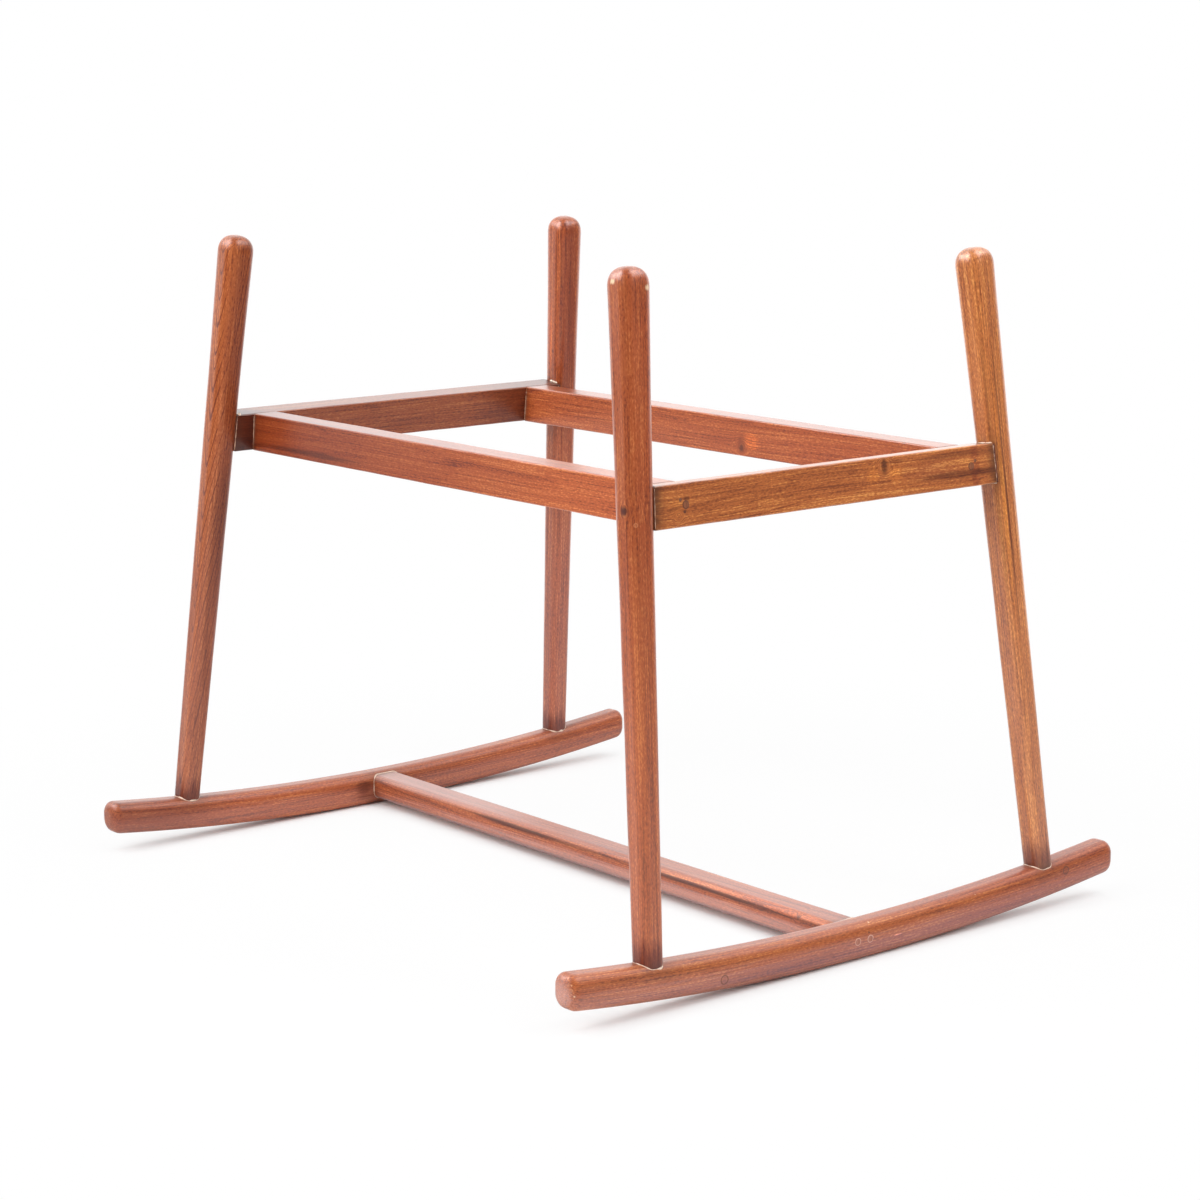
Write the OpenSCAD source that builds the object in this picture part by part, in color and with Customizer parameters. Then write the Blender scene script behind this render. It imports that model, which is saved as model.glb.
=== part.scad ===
// Cradle stand of solid wood: four leaning posts, four rails round an open
// top, and two curved rockers tied by one stretcher.
// X runs along the stretcher, Y along the rockers and Z up from the floor.

/* [Opening] */
// Clear length between the two end rails, at their top edges
opening_length = 600; // [450:5:800]
// Clear width between the two long rails
opening_width = 311; // [240:1:420]

/* [Rails] */
// Height of the rails' top edges above the floor
rail_top = 430.5; // [350:0.5:520]
// Height of every rail's section
rail_height = 36.5; // [30:0.5:48]
// Thickness of the end rails, which lean with the posts
end_rail_thickness = 25.5; // [20:0.5:31]
// Thickness of the long rails, which stand upright
long_rail_thickness = 26.5; // [20:0.5:36]
// Radius on the long edges of every rail
rail_edge = 1.5; // [0.5:0.5:4]
// Stretch of end rail that shows between a long rail and the post
rail_inset = 16.5; // [8:0.5:40]

/* [Posts] */
// Height of the posts' tops above the floor
post_top = 609; // [520:1:740]
// Width of a post at its top
post_top_width = 31.5; // [28:0.1:40]
// Width of a post where the rails meet it
post_rail_width = 27.4; // [23:0.1:34]
// Width of a post at its foot
post_foot_width = 22.2; // [18:0.1:27]
// Height of the rounded top of a post
post_round = 13; // [8:0.5:20]
// Lean of the posts and end rails towards the middle, along X, in degrees
lean_long = 6.6; // [0:0.1:9]
// Lean of the posts towards the middle, along Y, in degrees
lean_side = 3.4; // [0:0.1:5]

/* [Rockers] */
// Length of a rocker from end to end
rocker_length = 654; // [560:1:800]
// Width of a rocker's section
rocker_width = 29; // [24:0.5:40]
// Height of a rocker's section at its middle
rocker_height = 33.5; // [31:0.5:48]
// Radius of the curved underside
rocker_bottom_radius = 2586; // [1800:1:4000]
// Radius of the curved top
rocker_top_radius = 2928; // [2000:1:4500]
// Radius on the long edges of a rocker
rocker_edge = 8; // [2:0.5:10]
// Radius on the ends of a rocker, seen from the side
rocker_end_round = 10; // [4:0.5:13]

/* [Stretcher] */
// Width of the stretcher that ties the rockers
stretcher_width = 33.7; // [26:0.1:60]
// Height of the stretcher's section
stretcher_height = 24.5; // [18:0.1:26]
// Gap between the stretcher and the floor
stretcher_lift = 6.5; // [3:0.1:8]
// Radius on the long edges of the stretcher
stretcher_edge = 7; // [1:0.5:8]

/* [Dowels] */
// Diameter of the dowel in each post's foot
foot_dowel_d = 10; // [6:0.5:12]
// Length of the dowel in each post's foot
foot_dowel_length = 40; // [24:1:44]
// Diameter of the dowels between end rails and posts
rail_dowel_d = 8; // [5:0.5:10]
// Length of the dowels between end rails and posts
rail_dowel_length = 36; // [20:1:38]
// Distance between the two dowels of one rail joint
rail_dowel_pitch = 18; // [12:0.5:20]

/* [Screws and plugs] */
// Diameter of the wooden plugs over the screws
plug_d = 7; // [6:0.5:10]
// Depth of the wooden plugs
plug_depth = 6; // [3:0.5:8]
// Diameter of the screws' shanks
screw_d = 4; // [3:0.5:5]
// Diameter of the screws' heads
screw_head_d = 6.8; // [5:0.1:9]
// Thickness of the screws' heads
screw_head = 3; // [1.5:0.5:4]
// Length of the screws below their heads
screw_length = 45; // [30:1:60]
// Distance between the two screws in each end of the stretcher
stretcher_screw_pitch = 15; // [12:0.5:24]
// Diameter of the brad beside each rail plug
brad_d = 2.2; // [1.2:0.1:3]
// Length of the brads
brad_length = 34; // [28:1:40]
// Distance of a brad from its plug, outwards along the rail
brad_out = 5.5; // [5:0.5:9]
// Distance of a brad from its plug, upwards
brad_up = 4.5; // [0:0.5:9]

/* [Fits] */
// Clearance round a dowel, plug, screw or brad in its bore
bore_clearance = 0.1; // [0.05:0.05:0.3]
// Space left for glue at each end of a dowel
glue_space = 1; // [0.5:0.5:3]

/* [Hidden] */

LEFT = -1;
RIGHT = 1;
FRONT = -1;
BACK = 1;
SIDES = [LEFT, RIGHT];
ENDS = [FRONT, BACK];

teak = [0.72, 0.43, 0.29];
dark_teak = [0.56, 0.30, 0.19];
beech = [0.85, 0.72, 0.53];
steel = [0.62, 0.62, 0.63];

// Overcut past a surface where a cut only has to clear it
past = 20;
// Facets of a whole turn on the rockers' long curves
arc_facets = 720;
$fn = 48;

// The end frame's middle plane passes through this point at its rail's top
frame_x = opening_length / 2 + end_rail_thickness / 2 * cos(lean_long);
frame_z = rail_top + end_rail_thickness / 2 * sin(lean_long);

// Centre lines of the long rails and of the posts at the rails' top
long_rail_y = opening_width / 2 + long_rail_thickness / 2;
post_y = opening_width / 2 + long_rail_thickness + rail_inset + post_rail_width / 2;

// Height of a rocker's two curves at a distance y from its middle
function rocker_top_at(y) =
    rocker_height + rocker_top_radius - sqrt(pow(rocker_top_radius, 2) - pow(y, 2));
function rocker_bottom_at(y) =
    rocker_bottom_radius - sqrt(pow(rocker_bottom_radius, 2) - pow(y, 2));

// A post's own axis starts at the rail's top plane and rises as it leans
axis_rise = cos(lean_long) * cos(lean_side);
top_t = (post_top - frame_z) / axis_rise;
foot_y = post_y + (frame_z - rocker_top_at(post_y)) * tan(lean_side) / cos(lean_long);
foot_t = (rocker_top_at(foot_y) - frame_z) / axis_rise;
// The rocker's centre plane stands under the feet
rocker_x = frame_x - foot_t * cos(lean_side) * sin(lean_long);

// Corners of a post reach this share of its width from the axis
post_corner_share = 0.562;
// A post runs this far into the rocker before it is coped to it
foot_cope = 8;
// Widths grow at a steady rate to the rails, then flare towards the top
taper = (post_rail_width - post_foot_width) / -foot_t;
flare = (post_top_width - post_rail_width - taper * top_t) / pow(top_t, 2);
function post_width(t) = post_rail_width + taper * t + (t > 0 ? flare * pow(t, 2) : 0);

// Heights along a post at which its outline has a point
flare_steps = 4;
shoulder_t = top_t - post_round;
post_stations = concat([foot_t - foot_cope],
    [for (i = [0 : flare_steps]) shoulder_t * i / flare_steps]);
// Exponent that squares the rounded top, and its steps in degrees
round_power = 0.8;
round_step = 9;

// Right half of a post's outline, with half widths of share times its width
function post_edge(share) = concat(
    [for (t = post_stations) [share * post_width(t), t]],
    [for (a = [round_step : round_step : 90 - round_step])
        [share * post_width(shoulder_t) * pow(cos(a), round_power),
            shoulder_t + post_round * pow(sin(a), round_power)]],
    [[0, top_t]]);

function mirrored(points) = [for (i = [len(points) - 1 : -1 : 0]) [-points[i][0], points[i][1]]];

// Outline of a bar of half length reach and half height half with rounded ends;
// it widens to spread at the middle, so that it trims the ends only
cap_limit = 80;
cap_step = 10;
function cap_edge(reach, half, r) = concat(
    [for (a = [-cap_limit : cap_step : 0]) [reach - r + r * cos(a), r - half + r * sin(a)]],
    [for (a = [0 : cap_step : cap_limit]) [reach - r + r * cos(a), half - r + r * sin(a)]]);
function capped_outline(reach, half, r, spread) = concat(
    cap_edge(reach, half, r), [[0, spread]],
    mirrored(cap_edge(reach, half, r)), [[0, -spread]]);

// Extra depth of the rings from which a rocker is cut
rocker_blank = 70;
rocker_end_half = (rocker_top_at(rocker_length / 2) - rocker_bottom_at(rocker_length / 2)) / 2;
rocker_end_z = rocker_bottom_at(rocker_length / 2) + rocker_end_half;
rocker_face_x = rocker_x + rocker_width / 2;

// The stretcher runs this far into the rocker before it is coped to it
stretcher_cope = 4;
stretcher_z = stretcher_lift + stretcher_height / 2;

// Size of the blocks that cut a leaning part square
reach_all = 2 * opening_length;

// Places a part in the end frame of one side: its x points outwards across
// the frame, and its z up along the leaning frame from the rails' top
module in_end_frame(side) {
    mirror([side == LEFT ? 1 : 0, 0, 0])
        translate([frame_x, 0, frame_z])
            rotate([0, -lean_long, 0])
                children();
}

// Places a part on a post's axis, z up along the post from the rails' top
module on_post_axis(side, end) {
    in_end_frame(side)
        mirror([0, end == FRONT ? 1 : 0, 0])
            translate([0, post_y, 0])
                rotate([lean_side, 0, 0])
                    children();
}

module at_side(side) {
    mirror([side == LEFT ? 1 : 0, 0, 0])
        children();
}

// Turns an outline drawn in x and y so that it lies in Y and Z, run along X
module along_x(length) {
    rotate([90, 0, 90])
        linear_extrude(height = length, center = true)
            children();
}

// Turns an outline drawn in x and y so that it lies in X and Z, run along Y
module along_y(length) {
    rotate([90, 0, 0])
        linear_extrude(height = length, center = true)
            children();
}

// Rectangle with rounded corners, centred
module rounded_section(width, height, r) {
    square([width - 2 * r, height], center = true);
    square([width, height - 2 * r], center = true);
    for (x = [-1, 1], y = [-1, 1])
        translate([x * (width / 2 - r), y * (height / 2 - r)])
            circle(r = r);
}

// Post before it is coped and bored: square in two outlines, with its
// corners rounded off by a turned shape of the same height
module post_blank(side, end) {
    outline = concat(post_edge(0.5), mirrored(post_edge(0.5)));
    turned = concat(post_edge(post_corner_share), [[0, foot_t - foot_cope]]);
    on_post_axis(side, end)
        intersection() {
            along_y(2 * post_top_width) polygon(outline);
            along_x(2 * post_top_width) polygon(outline);
            rotate_extrude() polygon(turned);
        }
}

// Section of a ring about a far centre: square on the side towards from,
// rounded on the side of the radius
module ring_section(radius, depth) {
    from = depth > 0 ? radius : radius - abs(depth);
    inner = depth > 0 ? radius + rocker_edge : from;
    square_depth = abs(depth) - rocker_edge;
    translate([inner, -rocker_width / 2])
        square([square_depth, rocker_width]);
    translate([from, rocker_edge - rocker_width / 2])
        square([abs(depth), rocker_width - 2 * rocker_edge]);
    for (y = [-1, 1])
        translate([radius + sign(depth) * rocker_edge, y * (rocker_width / 2 - rocker_edge)])
            circle(r = rocker_edge);
}

// Arc of a ring that hangs from its far centre, along Y under that centre
module hanging_ring(radius, depth, centre_z) {
    half_angle = asin((rocker_length / 2 + past) / radius);
    translate([rocker_x, 0, centre_z])
        rotate([0, 90, 0])
            rotate([0, 0, -half_angle])
                rotate_extrude(angle = 2 * half_angle, $fn = arc_facets)
                    ring_section(radius, depth);
}

// Rocker before it is bored
module rocker_blank_solid(side) {
    at_side(side)
        intersection() {
            hanging_ring(rocker_bottom_radius, -rocker_blank, rocker_bottom_radius);
            hanging_ring(rocker_top_radius, rocker_blank, rocker_height + rocker_top_radius);
            translate([rocker_x, 0, rocker_end_z])
                along_x(2 * rocker_width)
                    polygon(capped_outline(rocker_length / 2, rocker_end_half,
                        rocker_end_round, 3 * rocker_height));
            translate([rocker_x, 0, 0])
                rotate([0, 0, 90])
                    linear_extrude(height = 4 * rocker_height)
                        polygon(capped_outline(rocker_length / 2, rocker_width / 2,
                            rocker_edge, 2 * rocker_width));
        }
}

// Dowel in a post's foot, half in the post and half in the rocker
module foot_dowel(side, end, clearance = 0, extra = 0) {
    on_post_axis(side, end)
        translate([0, 0, foot_t])
            cylinder(d = foot_dowel_d + 2 * clearance,
                h = foot_dowel_length + 2 * extra, center = true);
}

// Height of a rail dowel from the rails' top, for the lower or the upper one
function rail_dowel_w(level) = -rail_height / 2 + level * rail_dowel_pitch / 2;
// Distance from the middle at which a post's inner face stands at that height
function post_face_y(w) =
    post_y - w * tan(lean_side) - post_width(w) / 2 / cos(lean_side);

// Dowel between an end rail and a post, half in each
module rail_dowel(side, end, level, clearance = 0, extra = 0) {
    w = rail_dowel_w(level);
    in_end_frame(side)
        translate([0, end * post_face_y(w), w])
            rotate([90, 0, 0])
                cylinder(d = rail_dowel_d + 2 * clearance,
                    h = rail_dowel_length + 2 * extra, center = true);
}

module rail_dowels_of(side, end, clearance = 0, extra = 0) {
    for (level = [-1, 1])
        rail_dowel(side, end, level, clearance, extra);
}

// Places a screw, plug or brad on the outer face of an end rail, with its z
// pointing inwards from the face
module on_rail_face(side, end, out = 0, up = 0) {
    in_end_frame(side)
        translate([end_rail_thickness / 2, end * (long_rail_y + out), up - rail_height / 2])
            rotate([0, -90, 0])
                children();
}

// Places a screw or plug on the outer face of a rocker, at the stretcher
module on_rocker_face(side, end) {
    at_side(side)
        translate([rocker_face_x, end * stretcher_screw_pitch / 2, stretcher_z])
            rotate([0, -90, 0])
                children();
}

// Plug, from the face inwards; with a clearance it is the bore for one
module plug(clearance = 0) {
    translate([0, 0, clearance > 0 ? -past : 0])
        cylinder(d = plug_d + 2 * clearance, h = plug_depth + (clearance > 0 ? past : 0));
}

// Screw under a plug: flat head, shank and pointed tip
screw_tip = 6;
module screw() {
    translate([0, 0, plug_depth]) {
        cylinder(d = screw_head_d, h = screw_head);
        cylinder(d = screw_d, h = screw_head + screw_length - screw_tip);
        translate([0, 0, screw_head + screw_length - screw_tip])
            cylinder(d1 = screw_d, d2 = screw_d / 4, h = screw_tip);
    }
}

// Bore for a plug and its screw
module screw_bore() {
    plug(bore_clearance);
    cylinder(d = plug_d + 2 * bore_clearance, h = plug_depth + screw_head);
    cylinder(d = screw_d + 2 * bore_clearance,
        h = plug_depth + screw_head + screw_length + glue_space);
}

module brad(clearance = 0) {
    translate([0, 0, clearance > 0 ? -past : 0])
        cylinder(d = brad_d + 2 * clearance,
            h = brad_length + (clearance > 0 ? past + glue_space : 0), $fn = 24);
}

module rail_fastener_bores(side, end) {
    on_rail_face(side, end) screw_bore();
    on_rail_face(side, end, brad_out, brad_up) brad(bore_clearance);
}

// Everything on the outer side of an end rail's inner face
module beyond_inner_face(side) {
    in_end_frame(side)
        translate([-end_rail_thickness / 2, -reach_all / 2, -reach_all / 2])
            cube(reach_all);
}

// Everything on the far side of a post's inner face, where an end rail butts
// against it; the face leans with the post and with its taper
module beyond_post_face(side, end) {
    on_post_axis(side, end)
        translate([0, -post_rail_width / 2, 0])
            rotate([atan(taper / 2), 0, 0])
                translate([-reach_all / 2, 0, -reach_all / 2])
                    cube(reach_all);
}

module post(side, end) {
    color(teak)
        difference() {
            post_blank(side, end);
            rocker_blank_solid(side);
            foot_dowel(side, end, bore_clearance, glue_space);
            rail_dowels_of(side, end, bore_clearance, glue_space);
        }
}

module post_front_left() { post(LEFT, FRONT); }
module post_back_left() { post(LEFT, BACK); }
module post_front_right() { post(RIGHT, FRONT); }
module post_back_right() { post(RIGHT, BACK); }

module end_rail(side) {
    color(teak)
        difference() {
            in_end_frame(side)
                translate([0, 0, -rail_height / 2])
                    along_y(2 * post_y)
                        rounded_section(end_rail_thickness, rail_height, rail_edge);
            for (end = ENDS) {
                beyond_post_face(side, end);
                rail_dowels_of(side, end, bore_clearance, glue_space);
                rail_fastener_bores(side, end);
            }
        }
}

module end_rail_left() { end_rail(LEFT); }
module end_rail_right() { end_rail(RIGHT); }

module long_rail(end) {
    color(teak)
        difference() {
            translate([0, end * long_rail_y, rail_top - rail_height / 2])
                along_x(opening_length + 2 * end_rail_thickness)
                    rounded_section(long_rail_thickness, rail_height, rail_edge);
            for (side = SIDES) {
                beyond_inner_face(side);
                rail_fastener_bores(side, end);
            }
        }
}

module long_rail_front() { long_rail(FRONT); }
module long_rail_back() { long_rail(BACK); }

module rocker(side) {
    color(teak)
        difference() {
            rocker_blank_solid(side);
            for (end = ENDS) {
                foot_dowel(side, end, bore_clearance, glue_space);
                on_rocker_face(side, end) screw_bore();
            }
        }
}

module rocker_left() { rocker(LEFT); }
module rocker_right() { rocker(RIGHT); }

module stretcher() {
    color(teak)
        difference() {
            translate([0, 0, stretcher_z])
                along_x(2 * (rocker_x - rocker_width / 2 + stretcher_cope))
                    rounded_section(stretcher_width, stretcher_height, stretcher_edge);
            for (side = SIDES) {
                rocker_blank_solid(side);
                for (end = ENDS)
                    on_rocker_face(side, end) screw_bore();
            }
        }
}

module foot_dowels() {
    color(beech)
        for (side = SIDES, end = ENDS)
            foot_dowel(side, end);
}

module rail_dowels() {
    color(beech)
        for (side = SIDES, end = ENDS)
            rail_dowels_of(side, end);
}

module rail_screws() {
    color(steel)
        for (side = SIDES, end = ENDS)
            on_rail_face(side, end) screw();
}

module rail_plugs() {
    color(dark_teak)
        for (side = SIDES, end = ENDS)
            on_rail_face(side, end) plug();
}

module rail_brads() {
    color(steel)
        for (side = SIDES, end = ENDS)
            on_rail_face(side, end, brad_out, brad_up) brad();
}

module stretcher_screws() {
    color(steel)
        for (side = SIDES, end = ENDS)
            on_rocker_face(side, end) screw();
}

module stretcher_plugs() {
    color(dark_teak)
        for (side = SIDES, end = ENDS)
            on_rocker_face(side, end) plug();
}

post_front_left();
post_back_left();
post_front_right();
post_back_right();
end_rail_left();
end_rail_right();
long_rail_front();
long_rail_back();
rocker_left();
rocker_right();
stretcher();
foot_dowels();
rail_dowels();
rail_screws();
rail_plugs();
rail_brads();
stretcher_screws();
stretcher_plugs();
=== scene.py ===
"""Looks of a wooden cradle stand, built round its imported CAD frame.

Every piece of wood is a surface worked out with numpy from the driving sizes of
the CAD frame: a rounded outline carried along the piece. Each one keeps the
place of its fibres in the attribute "grain", in metres, and the finishes read it.
"""

from __future__ import annotations

import logging
import math
from dataclasses import dataclass, field, replace
from enum import Enum

import bpy
import numpy as np
from mathutils import Matrix


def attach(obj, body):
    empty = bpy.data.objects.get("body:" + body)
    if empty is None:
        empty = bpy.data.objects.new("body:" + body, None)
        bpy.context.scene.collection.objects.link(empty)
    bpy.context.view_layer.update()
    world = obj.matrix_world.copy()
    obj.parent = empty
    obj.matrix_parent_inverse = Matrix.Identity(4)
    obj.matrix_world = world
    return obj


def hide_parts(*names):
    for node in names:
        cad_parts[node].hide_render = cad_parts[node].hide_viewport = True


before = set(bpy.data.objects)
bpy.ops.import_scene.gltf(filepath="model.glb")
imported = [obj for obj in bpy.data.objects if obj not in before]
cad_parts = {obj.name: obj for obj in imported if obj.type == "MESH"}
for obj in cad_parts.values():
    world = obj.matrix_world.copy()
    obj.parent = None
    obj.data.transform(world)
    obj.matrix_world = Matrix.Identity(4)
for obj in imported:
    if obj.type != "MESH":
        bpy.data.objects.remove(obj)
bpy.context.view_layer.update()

log = logging.getLogger("cradle_stand")

MM = 0.001
ROOT = "root"
BUMP_HEIGHT = 0.2 * MM

Array = np.ndarray
Socket = bpy.types.NodeSocket
Span = tuple[float, float]
Triple = tuple[float, float, float]
Rgba = tuple[float, float, float, float]

WHITE: Rgba = (1.0, 1.0, 1.0, 1.0)


class Side(Enum):
    """The two ends of the stand along X."""

    LEFT = -1
    RIGHT = 1


class End(Enum):
    """The two sides of the stand along Y."""

    FRONT = -1
    BACK = 1


class Slot(Enum):
    """The record's material slots."""

    TEAK = "teak"
    PLUG = "plug_teak"
    BEECH = "beech"


class Blend(Enum):
    """How a streak's colour meets the wood's."""

    TINT = "MULTIPLY"
    COVER = "MIX"


CORNERS = [(side, end) for side in Side for end in End]


def linear(colour: Triple) -> Rgba:
    """Turns a screen colour into the linear colour that a shader takes.

    Args:
        colour: red, green and blue from 0 to 255.

    Returns:
        The linear colour with an alpha of 1.
    """
    value = np.array(colour, float) / 255
    low = value / 12.92
    high = ((value + 0.055) / 1.055) ** 2.4
    return (*np.where(value <= 0.04045, low, high).tolist(), 1.0)


def metres(values: Triple) -> Triple:
    """Turns millimetres into metres."""
    return tuple(MM * value for value in values)


def named(kind: str, *places: Enum) -> str:
    """The CAD node's name for a kind of piece at these places."""
    return "_".join([kind, *(place.name.lower() for place in places)])


@dataclass(frozen=True)
class Layout:
    """Driving sizes of the CAD frame, in metres and radians, and the places that follow.

    Only rocker_edge differs from the CAD, whose rockers are a little squarer.
    """

    opening_length: float = 600 * MM
    opening_width: float = 311 * MM
    rail_top: float = 430.5 * MM
    rail_height: float = 36.5 * MM
    rail_inset: float = 16.5 * MM
    end_rail_half: float = 12.75 * MM
    long_rail_half: float = 13.25 * MM
    post_top: float = 609 * MM
    post_top_width: float = 31.5 * MM
    post_width: float = 27.4 * MM
    post_foot_width: float = 22.2 * MM
    lean_long: float = math.radians(6.6)
    lean_side: float = math.radians(3.4)
    rocker_half: float = 14.5 * MM
    rocker_height: float = 33.5 * MM
    rocker_reach: float = 327 * MM
    rocker_under: float = 2586 * MM
    rocker_over: float = 2928 * MM
    rocker_edge: float = 10.5 * MM

    @property
    def frame_x(self) -> float:
        """Distance of an end frame's middle plane from the stand's middle, at its rail's top."""
        return self.opening_length / 2 + self.end_rail_half * math.cos(self.lean_long)

    @property
    def frame_z(self) -> float:
        """Height of that plane at its rail's top."""
        return self.rail_top + self.end_rail_half * math.sin(self.lean_long)

    @property
    def long_rail_y(self) -> float:
        """Distance of a long rail's middle from the stand's middle."""
        return self.opening_width / 2 + self.long_rail_half

    @property
    def post_y(self) -> float:
        """Distance of a post's axis from the stand's middle, at the rails' top."""
        return self.long_rail_y + self.long_rail_half + self.rail_inset + self.post_width / 2

    @property
    def axis_rise(self) -> float:
        """Rise of a post's leaning axis for each metre along it."""
        return math.cos(self.lean_long) * math.cos(self.lean_side)

    @property
    def crown_t(self) -> float:
        """Place of a post's top along its axis."""
        return (self.post_top - self.frame_z) / self.axis_rise

    @property
    def foot_y(self) -> float:
        """Distance of a post's foot from the stand's middle."""
        fall = self.frame_z - self.rocker_top(self.post_y)
        return self.post_y + fall * math.tan(self.lean_side) / math.cos(self.lean_long)

    @property
    def foot_t(self) -> float:
        """Place of a post's foot along its axis."""
        return (self.rocker_top(self.foot_y) - self.frame_z) / self.axis_rise

    @property
    def rocker_x(self) -> float:
        """Distance of a rocker's middle plane, which stands under the posts' feet."""
        return self.frame_x - self.foot_t * math.cos(self.lean_side) * math.sin(self.lean_long)

    def rocker_bottom(self, y: Array) -> Array:
        """Height of a rocker's underside: a circle that touches the floor at y = 0."""
        return self.rocker_under - np.sqrt(self.rocker_under**2 - y**2)

    def rocker_top(self, y: Array) -> Array:
        """Height of a rocker's top: a flatter circle, rocker_height above the floor at y = 0."""
        return self.rocker_height + self.rocker_over - np.sqrt(self.rocker_over**2 - y**2)

    def edge_drop(self, beyond: Array) -> Array:
        """Fall of a rounded edge: radius less the height of its circle, beyond its start."""
        reach = np.clip(beyond, 0, self.rocker_edge * 0.995)
        return self.rocker_edge - np.sqrt(self.rocker_edge**2 - reach**2)

    def rocker_skin(self, x: Array, y: Array) -> Array:
        """Height of the right rocker's top over x and y, its rounded long edges counted."""
        beyond = np.abs(x - self.rocker_x) - (self.rocker_half - self.rocker_edge)
        return self.rocker_top(y) - self.edge_drop(beyond)

    def rocker_inner(self, y: Array, z: Array) -> Array:
        """Distance from the middle of the stand to a rocker's inner face at y and z.

        Args:
            y: places along Y.
            z: heights.

        Returns:
            The distances.
        """
        above = z - (self.rocker_top(y) - self.rocker_edge)
        below = self.rocker_bottom(y) + self.rocker_edge - z
        return self.rocker_x - self.rocker_half + self.edge_drop(np.maximum(above, below))

    def in_end_frame(self, u: Array, v: Array, w: Array, side: Side) -> Array:
        """Places a point of one leaning end frame.

        Args:
            u: outwards across the frame.
            v: along Y.
            w: up along the leaning frame, from the top of its rail.
            side: which end of the stand.

        Returns:
            The points in the stand's frame, in a last axis of three.
        """
        cos, sin = math.cos(self.lean_long), math.sin(self.lean_long)
        x = side.value * (self.frame_x + u * cos - w * sin)
        return np.stack(np.broadcast_arrays(x, v, self.frame_z + u * sin + w * cos), -1)

    def on_post(self, x: Array, y: Array, t: Array, side: Side, end: End) -> Array:
        """Places a point of a post: x and y across it, and t up along its leaning axis.

        Args:
            x: outwards along X.
            y: outwards along Y.
            t: up along the axis, from the rails' top.
            side: which end of the stand.
            end: front or back.

        Returns:
            The points in the stand's frame, in a last axis of three.
        """
        cos, sin = math.cos(self.lean_side), math.sin(self.lean_side)
        v = end.value * (self.post_y + y * cos - t * sin)
        return self.in_end_frame(x, v, y * sin + t * cos, side)

    def end_rail_inner(self, z: Array) -> Array:
        """Distance from the middle to the leaning inner face of an end rail at height z.

        Args:
            z: heights.

        Returns:
            The distances.
        """
        cos, sin = math.cos(self.lean_long), math.sin(self.lean_long)
        w = (z - self.frame_z + self.end_rail_half * sin) / cos
        return self.frame_x - self.end_rail_half * cos - w * sin


LAYOUT = Layout()


@dataclass(frozen=True)
class Outline:
    """A rectangle with rounded corners, as unit values round it.

    A point is (lean_x (a - r) + turn_x r, lean_y (b - r) + turn_y r) for half
    sizes a and b and corner radius r. lean runs from -1 to 1 along a flat and
    rests at -1 or 1 on a corner, and turn is the outward direction.
    """

    lean_x: Array
    lean_y: Array
    turn_x: Array
    turn_y: Array
    edge: Array

    @classmethod
    def make(cls, flat: int, corner: int) -> Outline:
        """Spreads points over the four corners and flats.

        Args:
            flat: points on each flat, closer together at its ends.
            corner: steps on each corner.

        Returns:
            The outline, anticlockwise, each corner followed by a flat.
        """
        bend = np.linspace(0, 1, corner + 1)
        share = np.linspace(0, 1, flat + 2)[1:-1]
        run = share - np.sin(2 * np.pi * share) / (2 * np.pi) * 0.85
        quarter = np.arange(4)[:, None]
        angle = (quarter + bend) * np.pi / 2
        flat_angle = np.repeat((quarter + 1) * np.pi / 2, flat, axis=1)
        whole = np.concatenate([angle, flat_angle], axis=1).ravel()
        rim = np.concatenate([np.sin(np.pi * bend) * np.ones((4, 1)), np.zeros((4, flat))], axis=1)
        leans = []
        for sign in (np.array([1, -1, -1, 1]), np.array([1, 1, -1, -1])):
            corners = np.repeat(sign[:, None], corner + 1, axis=1)
            flats = sign[:, None] + (np.roll(sign, -1) - sign)[:, None] * run
            leans.append(np.concatenate([corners, flats], axis=1).ravel())
        return cls(*leans, np.cos(whole), np.sin(whole), rim.ravel())

    def at(self, a: Array, b: Array, r: Array) -> tuple[Array, Array]:
        """Points across and up for half sizes a and b and corner radius r.

        Args:
            a: half size across.
            b: half size up.
            r: corner radius.

        Returns:
            The points across and up.
        """
        across = self.lean_x * (a - r) + self.turn_x * r
        up = self.lean_y * (b - r) + self.turn_y * r
        return across, up

    def turns(self, like: Array) -> Array:
        """Place round the outline, from 0 to 1, on each ring of a grid."""
        return np.arange(len(self.edge)) / len(self.edge) * np.ones_like(like)

    def rim(self, like: Array, share: float = 1.0) -> Array:
        """The edge layer on each ring of a grid: share at the middle of each corner, 0 on flats."""
        return self.edge * np.ones_like(like) * share


def waver(along: Array, round_at: Array, height: float, seed: int) -> Array:
    """Slow unevenness of a hand-sanded surface.

    A sum of six sines in the place along the piece and the place round it,
    with seeded lengths and starts.

    Args:
        along: place along the piece, in metres.
        round_at: place round the outline, in turns.
        height: about the most that it rises or falls.
        seed: start of the random draws.

    Returns:
        The rise at each point.
    """
    rng = np.random.default_rng(seed)
    waves = rng.uniform(6, 60, 6)
    turns = rng.integers(-3, 4, 6)
    starts = rng.uniform(0, 2 * np.pi, 6)
    phase = along[..., None] * waves + 2 * np.pi * (round_at[..., None] * turns) + starts
    return height * np.sin(phase).mean(-1)


@dataclass(frozen=True)
class Stain:
    """Painted shade beside a joint, where its crease lies in shade: its strength there, and the distance over
    which it fades.
    """

    strength: float
    reach: float

    def over(self, distance: Array, power: float = 1) -> Array:
        """Strength times exp(-(distance / reach) to the power)."""
        return self.strength * np.exp(-((distance / self.reach) ** power))


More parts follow.
